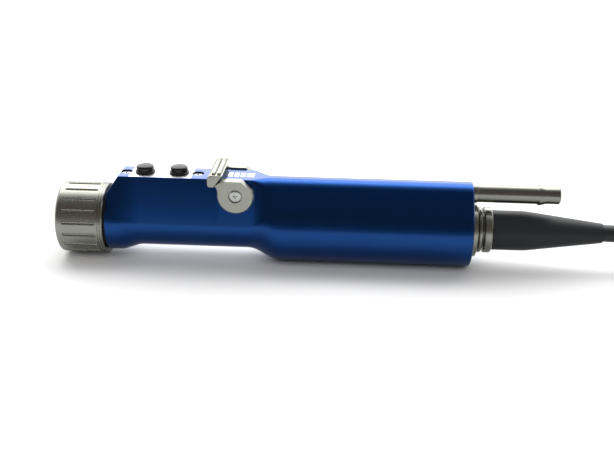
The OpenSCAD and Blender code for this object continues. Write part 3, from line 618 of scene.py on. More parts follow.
    def fill_ramp(self, ramp: bpy.types.ColorRamp) -> None:
        """Brightness of the room from the horizon in front, over the top, to the horizon behind."""
        tones = [(0.0, (0.30, 0.30, 0.29)), (0.10, (0.15, 0.14, 0.13)), (0.20, (0.15, 0.13, 0.11)),
                 (0.38, (0.12, 0.12, 0.12)), (0.49, (0.42, 0.43, 0.44)), (0.58, (0.95, 0.96, 0.98)),
                 (0.8, (1.1, 1.1, 1.1)), (1.0, (1.0, 1.0, 1.0))]
        while len(ramp.elements) < len(tones):
            ramp.elements.new(1.0)
        for element, (position, colour) in zip(ramp.elements, tones):
            element.position = position
            element.color = (*colour, 1.0)

    def make_lamp(self, name: str, place: Point3, size: Point2, watts: float) -> Piece:
        """Hangs a softbox that points at the middle of the handpiece.

        Args:
            name: Name of the lamp.
            place: Place in metres.
            size: Width and depth in metres.
            watts: Its power.

        Returns:
            The lamp.
        """
        data = bpy.data.lights.new(name, "AREA")
        data.shape = "RECTANGLE"
        data.size, data.size_y = size
        data.energy = watts
        lamp = bpy.data.objects.new(name, data)
        turn = (Vector(self.aim_m) - Vector(place)).to_track_quat("-Z", "Y")
        lamp.matrix_world = Matrix.Translation(Vector(place)) @ turn.to_matrix().to_4x4()
        bpy.context.scene.collection.objects.link(lamp)
        return lamp


@dataclass
class ConsoleCable:
    """The free cable: down from the boot to the table, into a tied hank in line with it, and back to the plug.

    Attributes:
        route: Points from the boot's end to the start of the hank.
        rise: Points from the end of the hank to the plug.
        route_steps: Steps between two points of these.
        turns: Turns in the hank, two of them side by side in each layer.
        turn_steps: Points on one turn.
        shift_at: Share of the first turn after which the cable moves over to the next place.
        shift_step: How much sooner each later turn does so.
        shift_len: Share of a turn that the move takes.
        length_m: Real length of the free cable; not used.
        jacket_mm: Diameter of the jacket.
        jacket_gap: Distance that the jacket stays inside its diameter.
        strap_w: Width of the strap that ties the hank.
        strap_t: Thickness of the strap.
        strap_lead: Distance from the middle of the strap to the far fold.
    """

    route: tuple[Point3, ...] = (
        (0, 0, 0), (4, 0, 0), (8, 0, -0.3), (14, 0.4, -1.4), (20, 1.5, -3.1), (26, 3.4, -5.1), (32, 5.8, -7.1),
        (38, 8.2, -9), (44, 10.2, -10.5), (50, 11.4, -11.5), (57, 11.9, -11.9), (66, 11.9, -11.9))
    rise: tuple[Point3, ...] = (
        (0, 0, 0), (-16, 0, 0), (-32, 0, 0), (-48, 0, 0), (-58, -0.1, 0.6), (-66, -0.4, 1.9), (-74, -0.7, 3.4),
        (-82, -1, 4.9), (-90, -1.2, 5.9), (-97, -1.2, 6.1), (-104, -1.2, 6.1))
    route_steps: int = 4
    turns: float = 5.5
    turn_steps: int = 56
    shift_at: float = 0.80
    shift_step: float = 0.10
    shift_len: float = 0.2
    length_m: float = 3.0
    jacket_mm: float = 7.2
    jacket_gap: float = 0.06
    strap_w: float = 13.0
    strap_t: float = 0.9
    strap_lead: float = 8.4

    def __post_init__(self) -> None:
        """Reads where the boot ends and where the hank lies."""
        self.exit = Vector((span("strain_relief_boot")[1].x, 0, 0))
        low, high = span("cable_coil")
        width = (high.y - low.y) / 2
        self.outer_r = width - self.jacket_mm / 2
        self.near_x, self.far_x = low.x + width, high.x - width
        self.middle_y = (low.y + high.y) / 2
        self.floor_z = low.z
        self.half_h = (high.z - low.z) / 2

    def build(self, plug: Sequence[Piece]) -> None:
        """Args:
            plug: Pieces of the console plug; not used.
        """
        hank = self.hank_points()
        points = [*self.smooth_points(self.route, self.exit)[:-1], *hank,
                  *self.smooth_points(self.rise, hank[-1])[1:]]
        data = bpy.data.curves.new("console_cable", "CURVE")
        data.dimensions = "3D"
        data.bevel_depth = (self.jacket_mm / 2 - self.jacket_gap) * MM
        data.bevel_resolution = 5
        data.use_fill_caps = True
        data.twist_mode = "MINIMUM"
        spline = data.splines.new("POLY")
        spline.points.add(len(points) - 1)
        for target, point in zip(spline.points, points):
            target.co = (*(point * MM), 1.0)
        spline.use_smooth = True
        data.materials.append(Finishes.jacket.material())
        cable = bpy.data.objects.new("console_cable", data)
        bpy.context.scene.collection.objects.link(cable)
        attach(cable, "root")
        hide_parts("cable_run", "cable_coil", "cable_tail")
        strap = self.make_strap()
        drawn = sum((b - a).length for a, b in zip(points, points[1:]))
        LOG.info("console_cable: %d points, %.0f mm long", len(points), drawn)

    def smooth_points(self, route: Sequence[Point3], start: Vector) -> list[Vector]:
        """Points on a smooth curve through a route.

        Args:
            route: Points counted from the start.
            start: Where the route starts, in millimetres.

        Returns:
            The points of the curve, ends included.
        """
        points = [Vector(p) + start for p in route]
        smooth = []
        for i in range(len(points) - 1):
            a, b, c, d = (points[min(max(k, 0), len(points) - 1)] for k in (i - 1, i, i + 1, i + 2))
            for step in range(self.route_steps):
                t = step / self.route_steps
                smooth.append((2 * b + (c - a) * t + (2 * a - 5 * b + 4 * c - d) * t**2
                               + (3 * b - a - 3 * c + d) * t**3) / 2)
        return smooth + [points[-1]]

    def hank_points(self) -> list[Vector]:
        """Points of the hank, from its first straight run on the table to the end of its last turn."""
        return [self.hank_point(i // self.turn_steps, (i % self.turn_steps) / self.turn_steps)
                for i in range(round(self.turns * self.turn_steps) + 1)]

    def hank_point(self, turn: int, share: float) -> Vector:
        """A point of the hank, where the cable moves between places so that no two strands meet.

        Args:
            turn: Number of the turn.
            share: Share of the turn: a quarter each for the first run, the far fold, the run back and
                the near fold.

        Returns:
            The point in millimetres.
        """
        moved = ease((share - self.shift_at + self.shift_step * turn) / self.shift_len)
        radius, level = (a + (b - a) * moved for a, b in zip(self.place(turn), self.place(turn + 1)))
        run = self.far_x - self.near_x
        part = 4 * share % 1
        if share < 0.25:
            x, y = self.near_x + run * part, radius
        elif share < 0.5:
            x, y = self.far_x + radius * math.sin(math.pi * part), radius * math.cos(math.pi * part)
        elif share < 0.75:
            x, y = self.far_x - run * part, -radius
        else:
            x, y = self.near_x - radius * math.sin(math.pi * part), -radius * math.cos(math.pi * part)
        return Vector((x, self.middle_y + y, self.floor_z + self.jacket_mm * (level + 0.5)))

    def place(self, turn: int) -> tuple[float, float]:
        """Radius of a turn's folds and the layer that it lies in, two turns to a layer and back and forth."""
        inside = ((turn + 1) // 2) % 2
        return self.outer_r - self.jacket_mm * inside, float(turn // 2)

    def make_strap(self) -> Piece:
        """Hook and loop strap round the hank's far run, flat where it lies on the table."""
        half_w, half_h = self.jacket_mm, self.half_h
        bend = self.jacket_mm / 2
        hole = [(y, max(z, self.strap_t / 2 - half_h)) for y, z in rounded_box(half_w, half_h, bend)]
        skin = [(y, max(z, -half_h)) for y, z in rounded_box(half_w + self.strap_t, half_h + self.strap_t,
                                                             bend + self.strap_t)]
        mesh = bmesh.new()
        outer = edge_chain(mesh, [Vector((-self.strap_w / 2, y, z)) for y, z in skin], closed=True)
        inner = edge_chain(mesh, [Vector((-self.strap_w / 2, y, z)) for y, z in hole], closed=True)
        rims = [item for item in outer + inner if isinstance(item, bmesh.types.BMEdge)]
        side = bmesh.ops.bridge_loops(mesh, edges=rims)["faces"]
        grown = bmesh.ops.extrude_face_region(mesh, geom=side)["geom"]
        moved = [item for item in grown if isinstance(item, bmesh.types.BMVert)]
        bmesh.ops.translate(mesh, vec=(self.strap_w, 0, 0), verts=moved)
        bmesh.ops.recalc_face_normals(mesh, faces=mesh.faces)
        place = Vector((self.far_x - self.strap_lead, self.middle_y + self.outer_r - self.jacket_mm / 2,
                        self.floor_z + half_h))
        bmesh.ops.translate(mesh, vec=place, verts=mesh.verts)
        return finished(mesh, "hank_strap", Finishes.strap)


def rounded_box(half_w: float, half_h: float, radius: float, steps: int = 6) -> list[Point2]:
    """Outline of a box with round corners, centred on the origin."""
    corners = [(half_w - radius, half_h - radius, 0), (radius - half_w, half_h - radius, 90),
               (radius - half_w, radius - half_h, 180), (half_w - radius, radius - half_h, 270)]
    return [point for y, z, start in corners for point in arc((y, z), radius, start, start + 90, steps)]


@dataclass
class ConsolePlug:
    """Round plug at the cable's far end, turned about the cable's tail.

    Attributes:
        boot_ribs: Number of flexing grooves in the boot.
        rib_depth: Depth of a groove.
        rib_share: Share of the pitch that a groove takes.
        rib_slant: How far the sides of a groove slant.
        tip_r: Radius of the boot where the cable leaves it.
        flutes: Number of flutes round the grip.
        line_lead: Distance from the turned line to the front of the body.
        line_depth: Depth of that line.
        shell_wall: Wall of the shell.
        key_w: Width of the keyway.
    """

    boot_ribs: int = 5
    rib_depth: float = 0.9
    rib_share: float = 0.45
    rib_slant: float = 0.2
    tip_r: float = 4.2
    flutes: int = 24
    flute_r: float = 0.7
    edge: float = 0.6
    line_lead: float = 2.4
    line_depth: float = 0.25
    shell_wall: float = 0.9
    key_w: float = 1.6

    def build(self) -> list[Piece]:
        """Makes the plug.

        Returns:
            Its pieces, which go with the cable.
        """
        low, high = span("plug_boot")
        self.axis = Vector((high.x, (low.y + high.y) / 2, (low.z + high.z) / 2))
        return [self.make_boot(), self.make_body(), self.make_grip(), self.make_shell(), self.make_insert(),
                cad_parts["plug_pins"]]

    def reach(self, node: str) -> tuple[float, float, float]:
        """Start and end of a plug node along the plug, and its radius."""
        low, high = span(node)
        return self.axis.x - high.x, self.axis.x - low.x, (high.y - low.y) / 2

    def make_boot(self) -> Piece:
        """Tapered boot with flexing grooves."""
        start, end, radius = self.reach("plug_boot")
        tip_r, slant = self.tip_r, self.rib_slant
        pitch = (end - start - 2) / (self.boot_ribs + 1)
        profile = [(start, 0), (start, tip_r - 0.3), (start + 0.3, tip_r)]
        for rib in range(self.boot_ribs):
            at = start + pitch * (rib + 0.8)
            wide = pitch * self.rib_share
            r_here = tip_r + (radius - tip_r) * (at - start) / (end - start)
            floor_r = r_here - self.rib_depth
            profile += [(at, r_here), (at + slant, floor_r), (at + wide - slant, floor_r),
                        (at + wide, r_here + (radius - tip_r) * wide / (end - start))]
        profile += [(end - 1.2, radius), (end, radius), (end, 0)]
        mesh = turned(profile, Along.FORWARD, self.axis, SMALL_STEPS)
        return finished(mesh, "plug_boot_ribbed", Finishes.boot_rubber,
                        replaces=["plug_boot"])

    def make_body(self) -> Piece:
        """Turned body between boot and grip, with a line near its front."""
        start, end, radius = self.reach("plug_body")
        line, groove_r = end - self.line_lead, radius - self.line_depth
        profile = [(start, 0), (start, radius - self.edge), (start + self.edge, radius), (line, radius),
                   (line + 0.15, groove_r), (line + 0.5, groove_r), (line + 0.65, radius),
                   (end - 0.15, radius), (end, radius - 0.15), (end, 0)]
        mesh = turned(profile, Along.FORWARD, self.axis, SMALL_STEPS * 2)
        return finished(mesh, "plug_body_turned", Finishes.nickel,
                        replaces=["plug_body"])

    def make_grip(self) -> Piece:
        """Fluted sleeve that locks the plug."""
        start, end, radius = self.reach("plug_grip")
        rim_r = radius - self.edge
        profile = [(start, 0), (start, rim_r), (start + self.edge, radius), (end - self.edge, radius),
                   (end, rim_r), (end, 0)]
        mesh = turned(profile, Along.FORWARD, self.axis, SMALL_STEPS * 2)
        rim = self.axis + Vector((0, 0, radius))
        tools = ring_copies(lambda: bar(self.flute_r, start - OVERRUN, end + OVERRUN, Along.FORWARD, rim, 16),
                            self.flutes, self.axis, 180 / self.flutes)
        mesh = combined(mesh, [gathered(tools)], Combine.CUT)
        return finished(mesh, "plug_grip_fluted", Finishes.nickel,
                        replaces=["plug_grip"])

    def make_shell(self) -> Piece:
        """Thin shell with a keyway that turns the plug the right way round."""
        start, end, radius = self.reach("plug_shell")
        wall = self.shell_wall
        profile = [(start, radius - wall), (start, radius), (end - 0.3, radius), (end, radius - 0.3),
                   (end, radius - wall + 0.2), (end - 0.2, radius - wall)]
        mesh = turned(profile, Along.FORWARD, self.axis, SMALL_STEPS * 2)
        low = Vector((-end - OVERRUN, -self.key_w / 2, radius - wall / 2))
        high = Vector((-start - OVERRUN, self.key_w / 2, radius + OVERRUN))
        key = block(self.axis + low, self.axis + high)
        mesh = combined(mesh, [key], Combine.CUT)
        return finished(mesh, "plug_shell_keyed", Finishes.nickel,
                        replaces=["plug_shell"])

    def make_insert(self) -> Piece:
        """Insulator that holds the pins, with a soft front edge."""
        start, end, radius = self.reach("plug_insert")
        profile = [(start, 0), (start, radius), (end - 0.3, radius), (end, radius - 0.3), (end, 0)]
        mesh = turned(profile, Along.FORWARD, self.axis, SMALL_STEPS)
        return finished(mesh, "plug_insert_moulded", Finishes.moulded_black,
                        replaces=["plug_insert"])


@dataclass
class Housing:
    """One-piece housing: round barrel, waist, flat top with a nose ramp, and a crest over the motor.

    Attributes:
        front_r: Radius of the front barrel.
        grip_r: Radius of the waist.
        scoop_lead: Distance from the front to the taper into the waist.
        scoop_len: Length of that taper.
        grip_len: Length of the waist.
        swell_len: Length of the swell behind it.
        nose_h: Height of the nose at the front.
        ramp_len: Length of the nose ramp.
        flat_len: Length of the flat top.
        flat_half_w: Half width of the flat top.
        fade_len: Length over which the flat fades into the crest.
        crest_h: Height of the crest.
    """

    front_r: float = 13.1
    grip_r: float = 10.7
    scoop_lead: float = 4.0
    scoop_len: float = 10.0
    grip_len: float = 44.0
    swell_len: float = 13.5
    nose_h: float = 13.3
    ramp_len: float = 5.2
    flat_len: float = 53.3
    flat_half_w: float = 7.0
    flat_edge_r: float = 0.5
    fade_len: float = 9.0
    crest_h: float = 20.1
    crest_r: float = 7.0
    crest_flat: float = 0.3
    rear_edge_r: float = 1.0
    neck_r: float = 11.9
    tunnel_r: float = 4.2
    passage_r: float = 2.6
    low_steps: int = 52
    edge_steps: int = 12
    pocket_gap: float = 0.35
    marks: int = 3
    mark_pitch: float = 2.6
    mark_gap: float = 0.5
    mark_depth: float = 0.15
    mark_half_w: float = 2.6
    mark_tail: float = 3.2
    mark_lead: float = 4.2
    inlay_sink: float = 0.05
    seat_gap: float = 0.3
    screw_seat: float = 1.0

    def __post_init__(self) -> None:
        """Reads the housing's stations from the frame."""
        low, high = span("main_housing")
        self.rear_r = high.y
        self.flat_h = high.z
        self.neck_x = low.x
        self.front_x = span("nose_seal")[1].x
        self.end_x = high.x
        self.flat_x = self.front_x + self.ramp_len
        self.flat_end_x = self.flat_x + self.flat_len
        self.scoop_x = self.front_x + self.scoop_lead
        self.grip_x = self.scoop_x + self.scoop_len
        self.swell_x = self.grip_x + self.grip_len
        self.rear_x = self.swell_x + self.swell_len
        hub_low, hub_high = span("valve_spool")
        self.pivot = (hub_low + hub_high) / 2

    def build(self) -> None:
        """Makes the shell and the bare metal of the suction scale."""
        self.make_shell()
        self.make_scale()

    def stations(self) -> list[float]:
        """Places along the drive axis where the skin gets a ring of points, closer where it bends."""
        edge = self.end_x - self.rear_edge_r
        runs = [(self.front_x, self.scoop_x, 3), (self.scoop_x, self.flat_x, 3), (self.flat_x, self.grip_x, 20),
                (self.grip_x, self.swell_x, 24), (self.swell_x, self.rear_x, 36), (self.rear_x, edge, 30)]
        places = [a + (b - a) * i / steps for a, b, steps in runs for i in range(steps)]
        return places + [edge + self.rear_edge_r * math.sin(math.pi * i / 16) for i in range(9)]

    def skin(self, x: float, step: int) -> Point2:
        """Point of the half section at a station.

        Args:
            x: Station along the drive axis.
            step: Number of the point, from 0 at the bottom to low_steps + edge_steps at the top.

        Returns:
            Its Y and Z.
        """
        fade = ease((x - self.flat_end_x) / self.fade_len)
        low_r = (self.front_r + (self.grip_r - self.front_r) * ease((x - self.scoop_x) / self.scoop_len)
                 + (self.rear_r - self.grip_r) * ease((x - self.swell_x) / self.swell_len))
        ramp = min(1.0, (x - self.front_x) / self.ramp_len)
        top = self.nose_h + (self.flat_h - self.nose_h) * ramp - (self.flat_h - self.crest_h) * fade
        edge_r = self.flat_edge_r + (self.crest_r - self.flat_edge_r) * fade
        centre = (self.flat_half_w + self.crest_flat * fade - edge_r, top - edge_r)
        taut = math.atan2(centre[1], centre[0]) - math.acos((low_r - edge_r) / math.hypot(*centre))
        past = max(0.0, x - self.end_x + self.rear_edge_r)
        inset = self.rear_edge_r - math.sqrt(max(0.0, self.rear_edge_r**2 - past**2))
        if step <= self.low_steps:
            angle = -math.pi / 2 + (taut + math.pi / 2) * step / self.low_steps
            return (low_r - inset) * math.cos(angle), (low_r - inset) * math.sin(angle)
        angle = taut + (math.pi / 2 - taut) * (step - self.low_steps) / self.edge_steps
        radius = edge_r - inset
        return centre[0] + radius * math.cos(angle), centre[1] + radius * math.sin(angle)

    def make_skin(self) -> Solid:
        """The closed skin: a grid wrapped round the section, its seam merged and its ends filled."""
        places = self.stations()
        half = self.low_steps + self.edge_steps
        columns, rows = len(places) - 1, 2 * half + 1
        mesh = bmesh.new()
        bmesh.ops.create_grid(mesh, x_segments=columns, y_segments=rows, size=1)
        for vert in mesh.verts:
            x = places[round((vert.co.x + 1) / 2 * columns)]
            step = round((vert.co.y + 1) / 2 * rows)
            side = 1 if step <= half else -1
            y, z = self.skin(x, step if step <= half else rows - step)
            vert.co = (x, side * y, z)
        bmesh.ops.remove_doubles(mesh, verts=mesh.verts, dist=MERGE_MM)
        bmesh.ops.holes_fill(mesh, edges=[edge for edge in mesh.edges if edge.is_boundary], sides=0)
        bmesh.ops.recalc_face_normals(mesh, faces=mesh.faces)
        return mesh

    def make_shell(self) -> None:
        """Shell with its neck, bores, lever pockets, switch seat and scale."""
        socket_high = span("blade_socket")[1]
        spool_r = span("valve_spool")[1].x - self.pivot.x
        hub_r = self.pivot.z - span("suction_lever")[0].z
        collar_low, collar_high = span("tube_collar")
        tube_h = (collar_low.z + collar_high.z) / 2
        cap_high = span("rear_cap")[1]
        can_low = span("motor_can")[0]
        neck = bar(self.neck_r, self.neck_x, self.front_x + OVERRUN)
        mesh = combined(self.make_skin(), [neck], Combine.JOIN)
        tube_axis = (0, 0, tube_h)
        cutters = [
            bar(socket_high.z, self.neck_x - OVERRUN, socket_high.x),
            bar(self.tunnel_r, socket_high.x - OVERRUN, can_low.x + OVERRUN),
            bar(cap_high.z, can_low.x, self.end_x + OVERRUN),
            bar(self.passage_r, self.pivot.x, self.end_x, origin=tube_axis, steps=SMALL_STEPS),
            bar(collar_high.y, collar_low.x, self.end_x + OVERRUN, origin=tube_axis, steps=SMALL_STEPS),
            bar(spool_r + CLEARANCE, -self.flat_half_w - OVERRUN, self.flat_half_w + OVERRUN, Along.FAR,
                (self.pivot.x, 0, self.pivot.z), SMALL_STEPS),
        ]
        for way in (Along.FAR, Along.NEAR):
            cutters.append(bar(hub_r + self.pocket_gap, self.flat_half_w, self.rear_r, way,
                               (self.pivot.x, 0, self.pivot.z)))
        cutters += self.switch_cutters()
        cutters += self.scale_blocks(-self.mark_depth, OVERRUN, 0.0)
        mesh = combined(mesh, cutters, Combine.CUT)
        finished(mesh, "housing_shell", Finishes.anodised,
                 replaces=["main_housing"], sharp=28.0)

    def switch_cutters(self) -> list[Solid]:
        """Cutters for the plate's pocket, the bay below it and the seats of its screws."""
        plate_low, plate_high = span("switch_plate")
        board_low, board_high = span("switch_board")
        screw_low, screw_high = span("plate_screws")
        head_r = screw_high.y
        gap = self.seat_gap
        cutters = [
            block(plate_low, (plate_high.x, plate_high.y, plate_high.z + OVERRUN)),
            block((board_low.x - gap, board_low.y - gap, board_low.z), (board_high.x + gap, board_high.y + gap,
                                                                       self.flat_h)),
        ]
        for x in (screw_low.x + head_r, screw_high.x - head_r):
            cutters.append(bar(head_r + gap, screw_high.z - self.screw_seat, self.flat_h + OVERRUN, Along.UP,
                               (x, 0, 0), SMALL_STEPS))
        return cutters

    def scale_blocks(self, low: float, high: float, inset: float) -> list[Solid]:
        """Blocks of the suction scale, three short ones and a longer one.

        Args:
            low: Height of their underside above the flat top.
            high: Height of their top above the flat top.
            inset: Distance that they stay inside the engraved outline.

        Returns:
            One block a mark.
        """
        blocks = []
        for mark in range(self.marks + 1):
            start = self.pivot.x - self.mark_lead + self.mark_pitch * mark
            length = self.mark_pitch - self.mark_gap if mark < self.marks else self.mark_tail
            blocks.append(block((start + inset, inset - self.mark_half_w, self.flat_h + low),
                                (start + length - inset, self.mark_half_w - inset, self.flat_h + high)))
        return blocks

    def make_scale(self) -> None:
        """Bright metal in the engraved scale."""
        mesh = gathered(self.scale_blocks(-self.mark_depth, -self.inlay_sink, CLEARANCE))
        finished(mesh, "suction_scale", Finishes.ground_steel)


@dataclass
class Collet:
    """Locking collet with round-bottomed finger slots and turned lines at its rear.

    Attributes:
        edge_r: Radius of the rounded front edge.
        slot_count: Number of finger slots.
        slot_len: Length of a slot.
        slot_w: Width of a slot at the surface.
        slot_depth: Depth of a slot.
        slot_lead: Distance from the front face to the slots.
        line_pitch: Distance between the turned lines.
    """

    edge_r: float = 1.7
    wall: float = 4.5
    inside_r: float = 11.95
    slot_count: int = 18
    slot_len: float = 14.0
    slot_w: float = 1.5
    slot_depth: float = 0.6
    slot_lead: float = 2.9
    line_w: float = 0.35
    line_depth: float = 0.22
    line_lead: float = 0.7
    line_pitch: float = 1.0
    chamfer: float = 0.3

    def build(self) -> None:
        """Makes the collet."""
        high = span("collet_ring")[1]
        radius = high.z
        bore = span("blade_socket")[1].z + CLEARANCE
        inside = self.inside_r
        length = high.x
        front = [(x, r) for r, x in arc((radius - self.edge_r, self.edge_r), self.edge_r, -90, 0, 10)]
        lines = []
        for band in (1, 0):
            end = length - self.line_lead - band * self.line_pitch
            start = end - self.line_w
            lines += [(start - 0.05, radius), (start + 0.05, radius - self.line_depth),
                      (end - 0.05, radius - self.line_depth), (end + 0.05, radius)]
        profile = [(0.2, bore), (0.0, bore + 0.2), *front, *lines, (length - self.chamfer, radius),
                   (length, radius - self.chamfer), (length, inside), (self.wall, inside), (self.wall, bore)]
        mesh = turned(profile, steps=216)
        cutter_r = (self.slot_w**2 / 4 + self.slot_depth**2) / (2 * self.slot_depth)
        slot_r = radius - self.slot_depth + cutter_r
        ends = (self.slot_lead + cutter_r * 0.97, self.slot_lead + self.slot_len - cutter_r * 0.97)
        cutter = [*[(x, r) for x, r in arc((ends[0], 0), cutter_r, 180, 90, 8)],
                  *[(x, r) for x, r in arc((ends[1], 0), cutter_r, 90, 0, 8)]]
        cutter[0] = (cutter[0][0], 0)
        cutter[-1] = (cutter[-1][0], 0)
        tools = ring_copies(lambda: turned(cutter, origin=(0, 0, slot_r), steps=32), self.slot_count)
        mesh = combined(mesh, [gathered(tools)], Combine.CUT)
        finished(mesh, "collet_turned", Finishes.turned_steel, "collet",
                 ["collet_ring"], sharp=24.0)


def cross_screw(head_r: float, head_t: float, shank_r: float, length: float, along: Along,
                origin: Place) -> Solid:
    """Screw with a softly domed head and a cross recess that narrows downwards.

    Args:
        head_r: Radius of the head.
        head_t: Thickness of the head.
        shank_r: Radius of the shank.
        length: Whole length.
        along: Direction from the shank to the head.
        origin: Top of the head.

    Returns:
        The closed solid.
    """
    edge, crown = 0.25, 0.12
    recess_depth, recess_half_w, recess_half_len = 0.8, 0.29, head_r * 0.56
    foot_w_share, foot_len_share = 0.7, 0.45
    profile = [(-length, 0), (-length, shank_r - edge), (edge - length, shank_r), (-head_t, shank_r),
               (-head_t, head_r), (-edge - crown, head_r), (-crown - edge * 0.3, head_r - edge * 0.3),
               (-crown, head_r - edge), (-crown * 0.35, head_r * 0.55), (0, 0)]
    mesh = turned(profile, steps=SMALL_STEPS * 2)
    cutters = []
    for turn in (0, 90):
        arm = block((-recess_depth, -recess_half_w, -recess_half_len),
                    (OVERRUN, recess_half_w, recess_half_len))
        for vert in arm.verts:
            if vert.co.x < 0:
                vert.co.z *= foot_len_share
                vert.co.y *= foot_w_share
        across = Matrix.Rotation(math.radians(turn), 4, "X")
        bmesh.ops.rotate(arm, cent=(0, 0, 0), matrix=across, verts=arm.verts)
        cutters.append(arm)
    mesh = combined(mesh, cutters, Combine.CUT)
    bmesh.ops.transform(mesh, matrix=along.placed(origin), verts=mesh.verts)
    return mesh


@dataclass
class SwitchGroup:
    """Switch plate with its screws, skirts, two domed buttons and the snap dome under each.

    Attributes:
        button_r: Radius of a button.
        hole_gap: Gap round a button in the plate.
        screw_gap: Gap round a screw's head in the plate.
        shank: Head thickness, shank radius and length of a plate screw.
        dome_t: Sheet of a snap dome.
        travel: How far a button goes down, which is how far its dome flattens; not used.
    """

    button_r: float = 3.5
    hole_gap: float = 0.06
    screw_gap: float = 0.3
    shank: Point3 = (1.0, 1.1, 3.5)
    plate_edge: float = 0.12
    button_edge: float = 0.9
    button_crown: float = 0.35
    skirt_w: float = 0.5
    dome_t: float = 0.12
    travel: float = 0.6

    def build(self) -> None:
        """Makes the plate, screws, skirts, buttons and domes."""
        plate_low, plate_high = span("switch_plate")
        screw_low, screw_high = span("plate_screws")
        head_r = screw_high.y
        screw_xs = (screw_low.x + head_r, screw_high.x - head_r)
        holes = [self.button_x(name) for name in ("front_button", "rear_button")]
        button_r = self.button_r
        mesh = block((plate_low.x + CLEARANCE, plate_low.y + CLEARANCE, plate_low.z),
                     (plate_high.x - CLEARANCE, plate_high.y - CLEARANCE, plate_high.z), self.plate_edge)
        openings = [(x, button_r + self.hole_gap) for x in holes]
        openings += [(x, head_r + self.screw_gap) for x in screw_xs]
        cutters = [bar(radius, plate_low.z - OVERRUN, plate_high.z + OVERRUN, Along.UP, (x, 0, 0))
                   for x, radius in openings]
        mesh = combined(mesh, cutters, Combine.CUT)
        finished(mesh, "switch_plate_ground", Finishes.ground_steel,
                 replaces=["switch_plate"])
        screws = [cross_screw(head_r, *self.shank, Along.UP, (x, 0, screw_high.z)) for x in screw_xs]
        finished(gathered(screws), "plate_screws_turned", Finishes.screw_steel,
                 replaces=["plate_screws"])
        self.make_skirts(holes, button_r, plate_high.z)
        for name in ("front_button", "rear_button"):
            self.make_button(name, button_r)
            self.make_dome(name.replace("button", "dome"))

    def button_x(self, name: str) -> float:
        """Where a button stands along the drive axis."""
        low, high = span(name)
        return (low.x + high.x) / 2

    def make_skirts(self, holes: Sequence[float], button_r: float, top: float) -> None:
        """Rubber skirt round each button, rounded where it meets the plate."""
        bore = button_r + self.hole_gap
        height = span("button_bezels")[1].z - top
        half = self.skirt_w / 2
        rim = [(x, r) for r, x in arc((bore + half, height - half), half, 0, 90, 5)]
        profile = [(0, bore), (0, bore + self.skirt_w), *rim, (height, bore)]
        skirts = [turned(profile, Along.UP, (x, 0, top), SMALL_STEPS * 2) for x in holes]
        finished(gathered(skirts), "button_skirts", Finishes.button_rubber,
                 replaces=["button_bezels"])

    def make_button(self, name: str, radius: float) -> None:
        """One button with its flange, round edge and low crown."""
        low, high = span(name)
        magnet = span(name.replace("button", "magnet"))
        flange_r = (high.x - low.x) / 2
        seat = span("switch_plate")[0].z - CLEARANCE
        pocket_r = (magnet[1].x - magnet[0].x) / 2
        rim = high.z - self.button_crown - self.button_edge
        edge = [(x, r) for r, x in arc((radius - self.button_edge, rim), self.button_edge, 0, 62, 8)]
        crown = []
        last_x, last_r = edge[-1]
        for step in range(1, 6):
            share = step / 5
            crown.append((last_x + (high.z - last_x) * math.sin(share * math.pi / 2), last_r * (1 - share)))
        profile = [(magnet[1].z, 0), (magnet[1].z, pocket_r), (low.z, pocket_r), (low.z, flange_r),
                   (seat, flange_r), (seat, radius), *edge, *crown[:-1], (high.z, 0)]
        mesh = turned(profile, Along.UP, (self.button_x(name), 0, 0), SMALL_STEPS * 2)
        finished(mesh, f"{name}_cap", Finishes.button_rubber, name, [name])

    def make_dome(self, name: str) -> None:
        """Snap dome on the board.

        Args:
            name: CAD node that it stands for.
        """
        low, high = span(name)
        centre_x, base_r, height = (low.x + high.x) / 2, (high.x - low.x) / 2, high.z - low.z
        angles = [math.pi / 2 * step / 8 for step in range(9)]
        hollow_h, hollow_r = height - self.dome_t, base_r - self.dome_t
        inside = [(low.z + hollow_h * math.cos(a), hollow_r * math.sin(a)) for a in angles]
        outside = [(low.z + height * math.cos(a), base_r * math.sin(a)) for a in reversed(angles)]
        mesh = turned(inside + outside, Along.UP, (centre_x, 0, 0), SMALL_STEPS)
        dome = finished(mesh, f"{name}_pressed", Finishes.spring_wire, replaces=[name])
        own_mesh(dome)


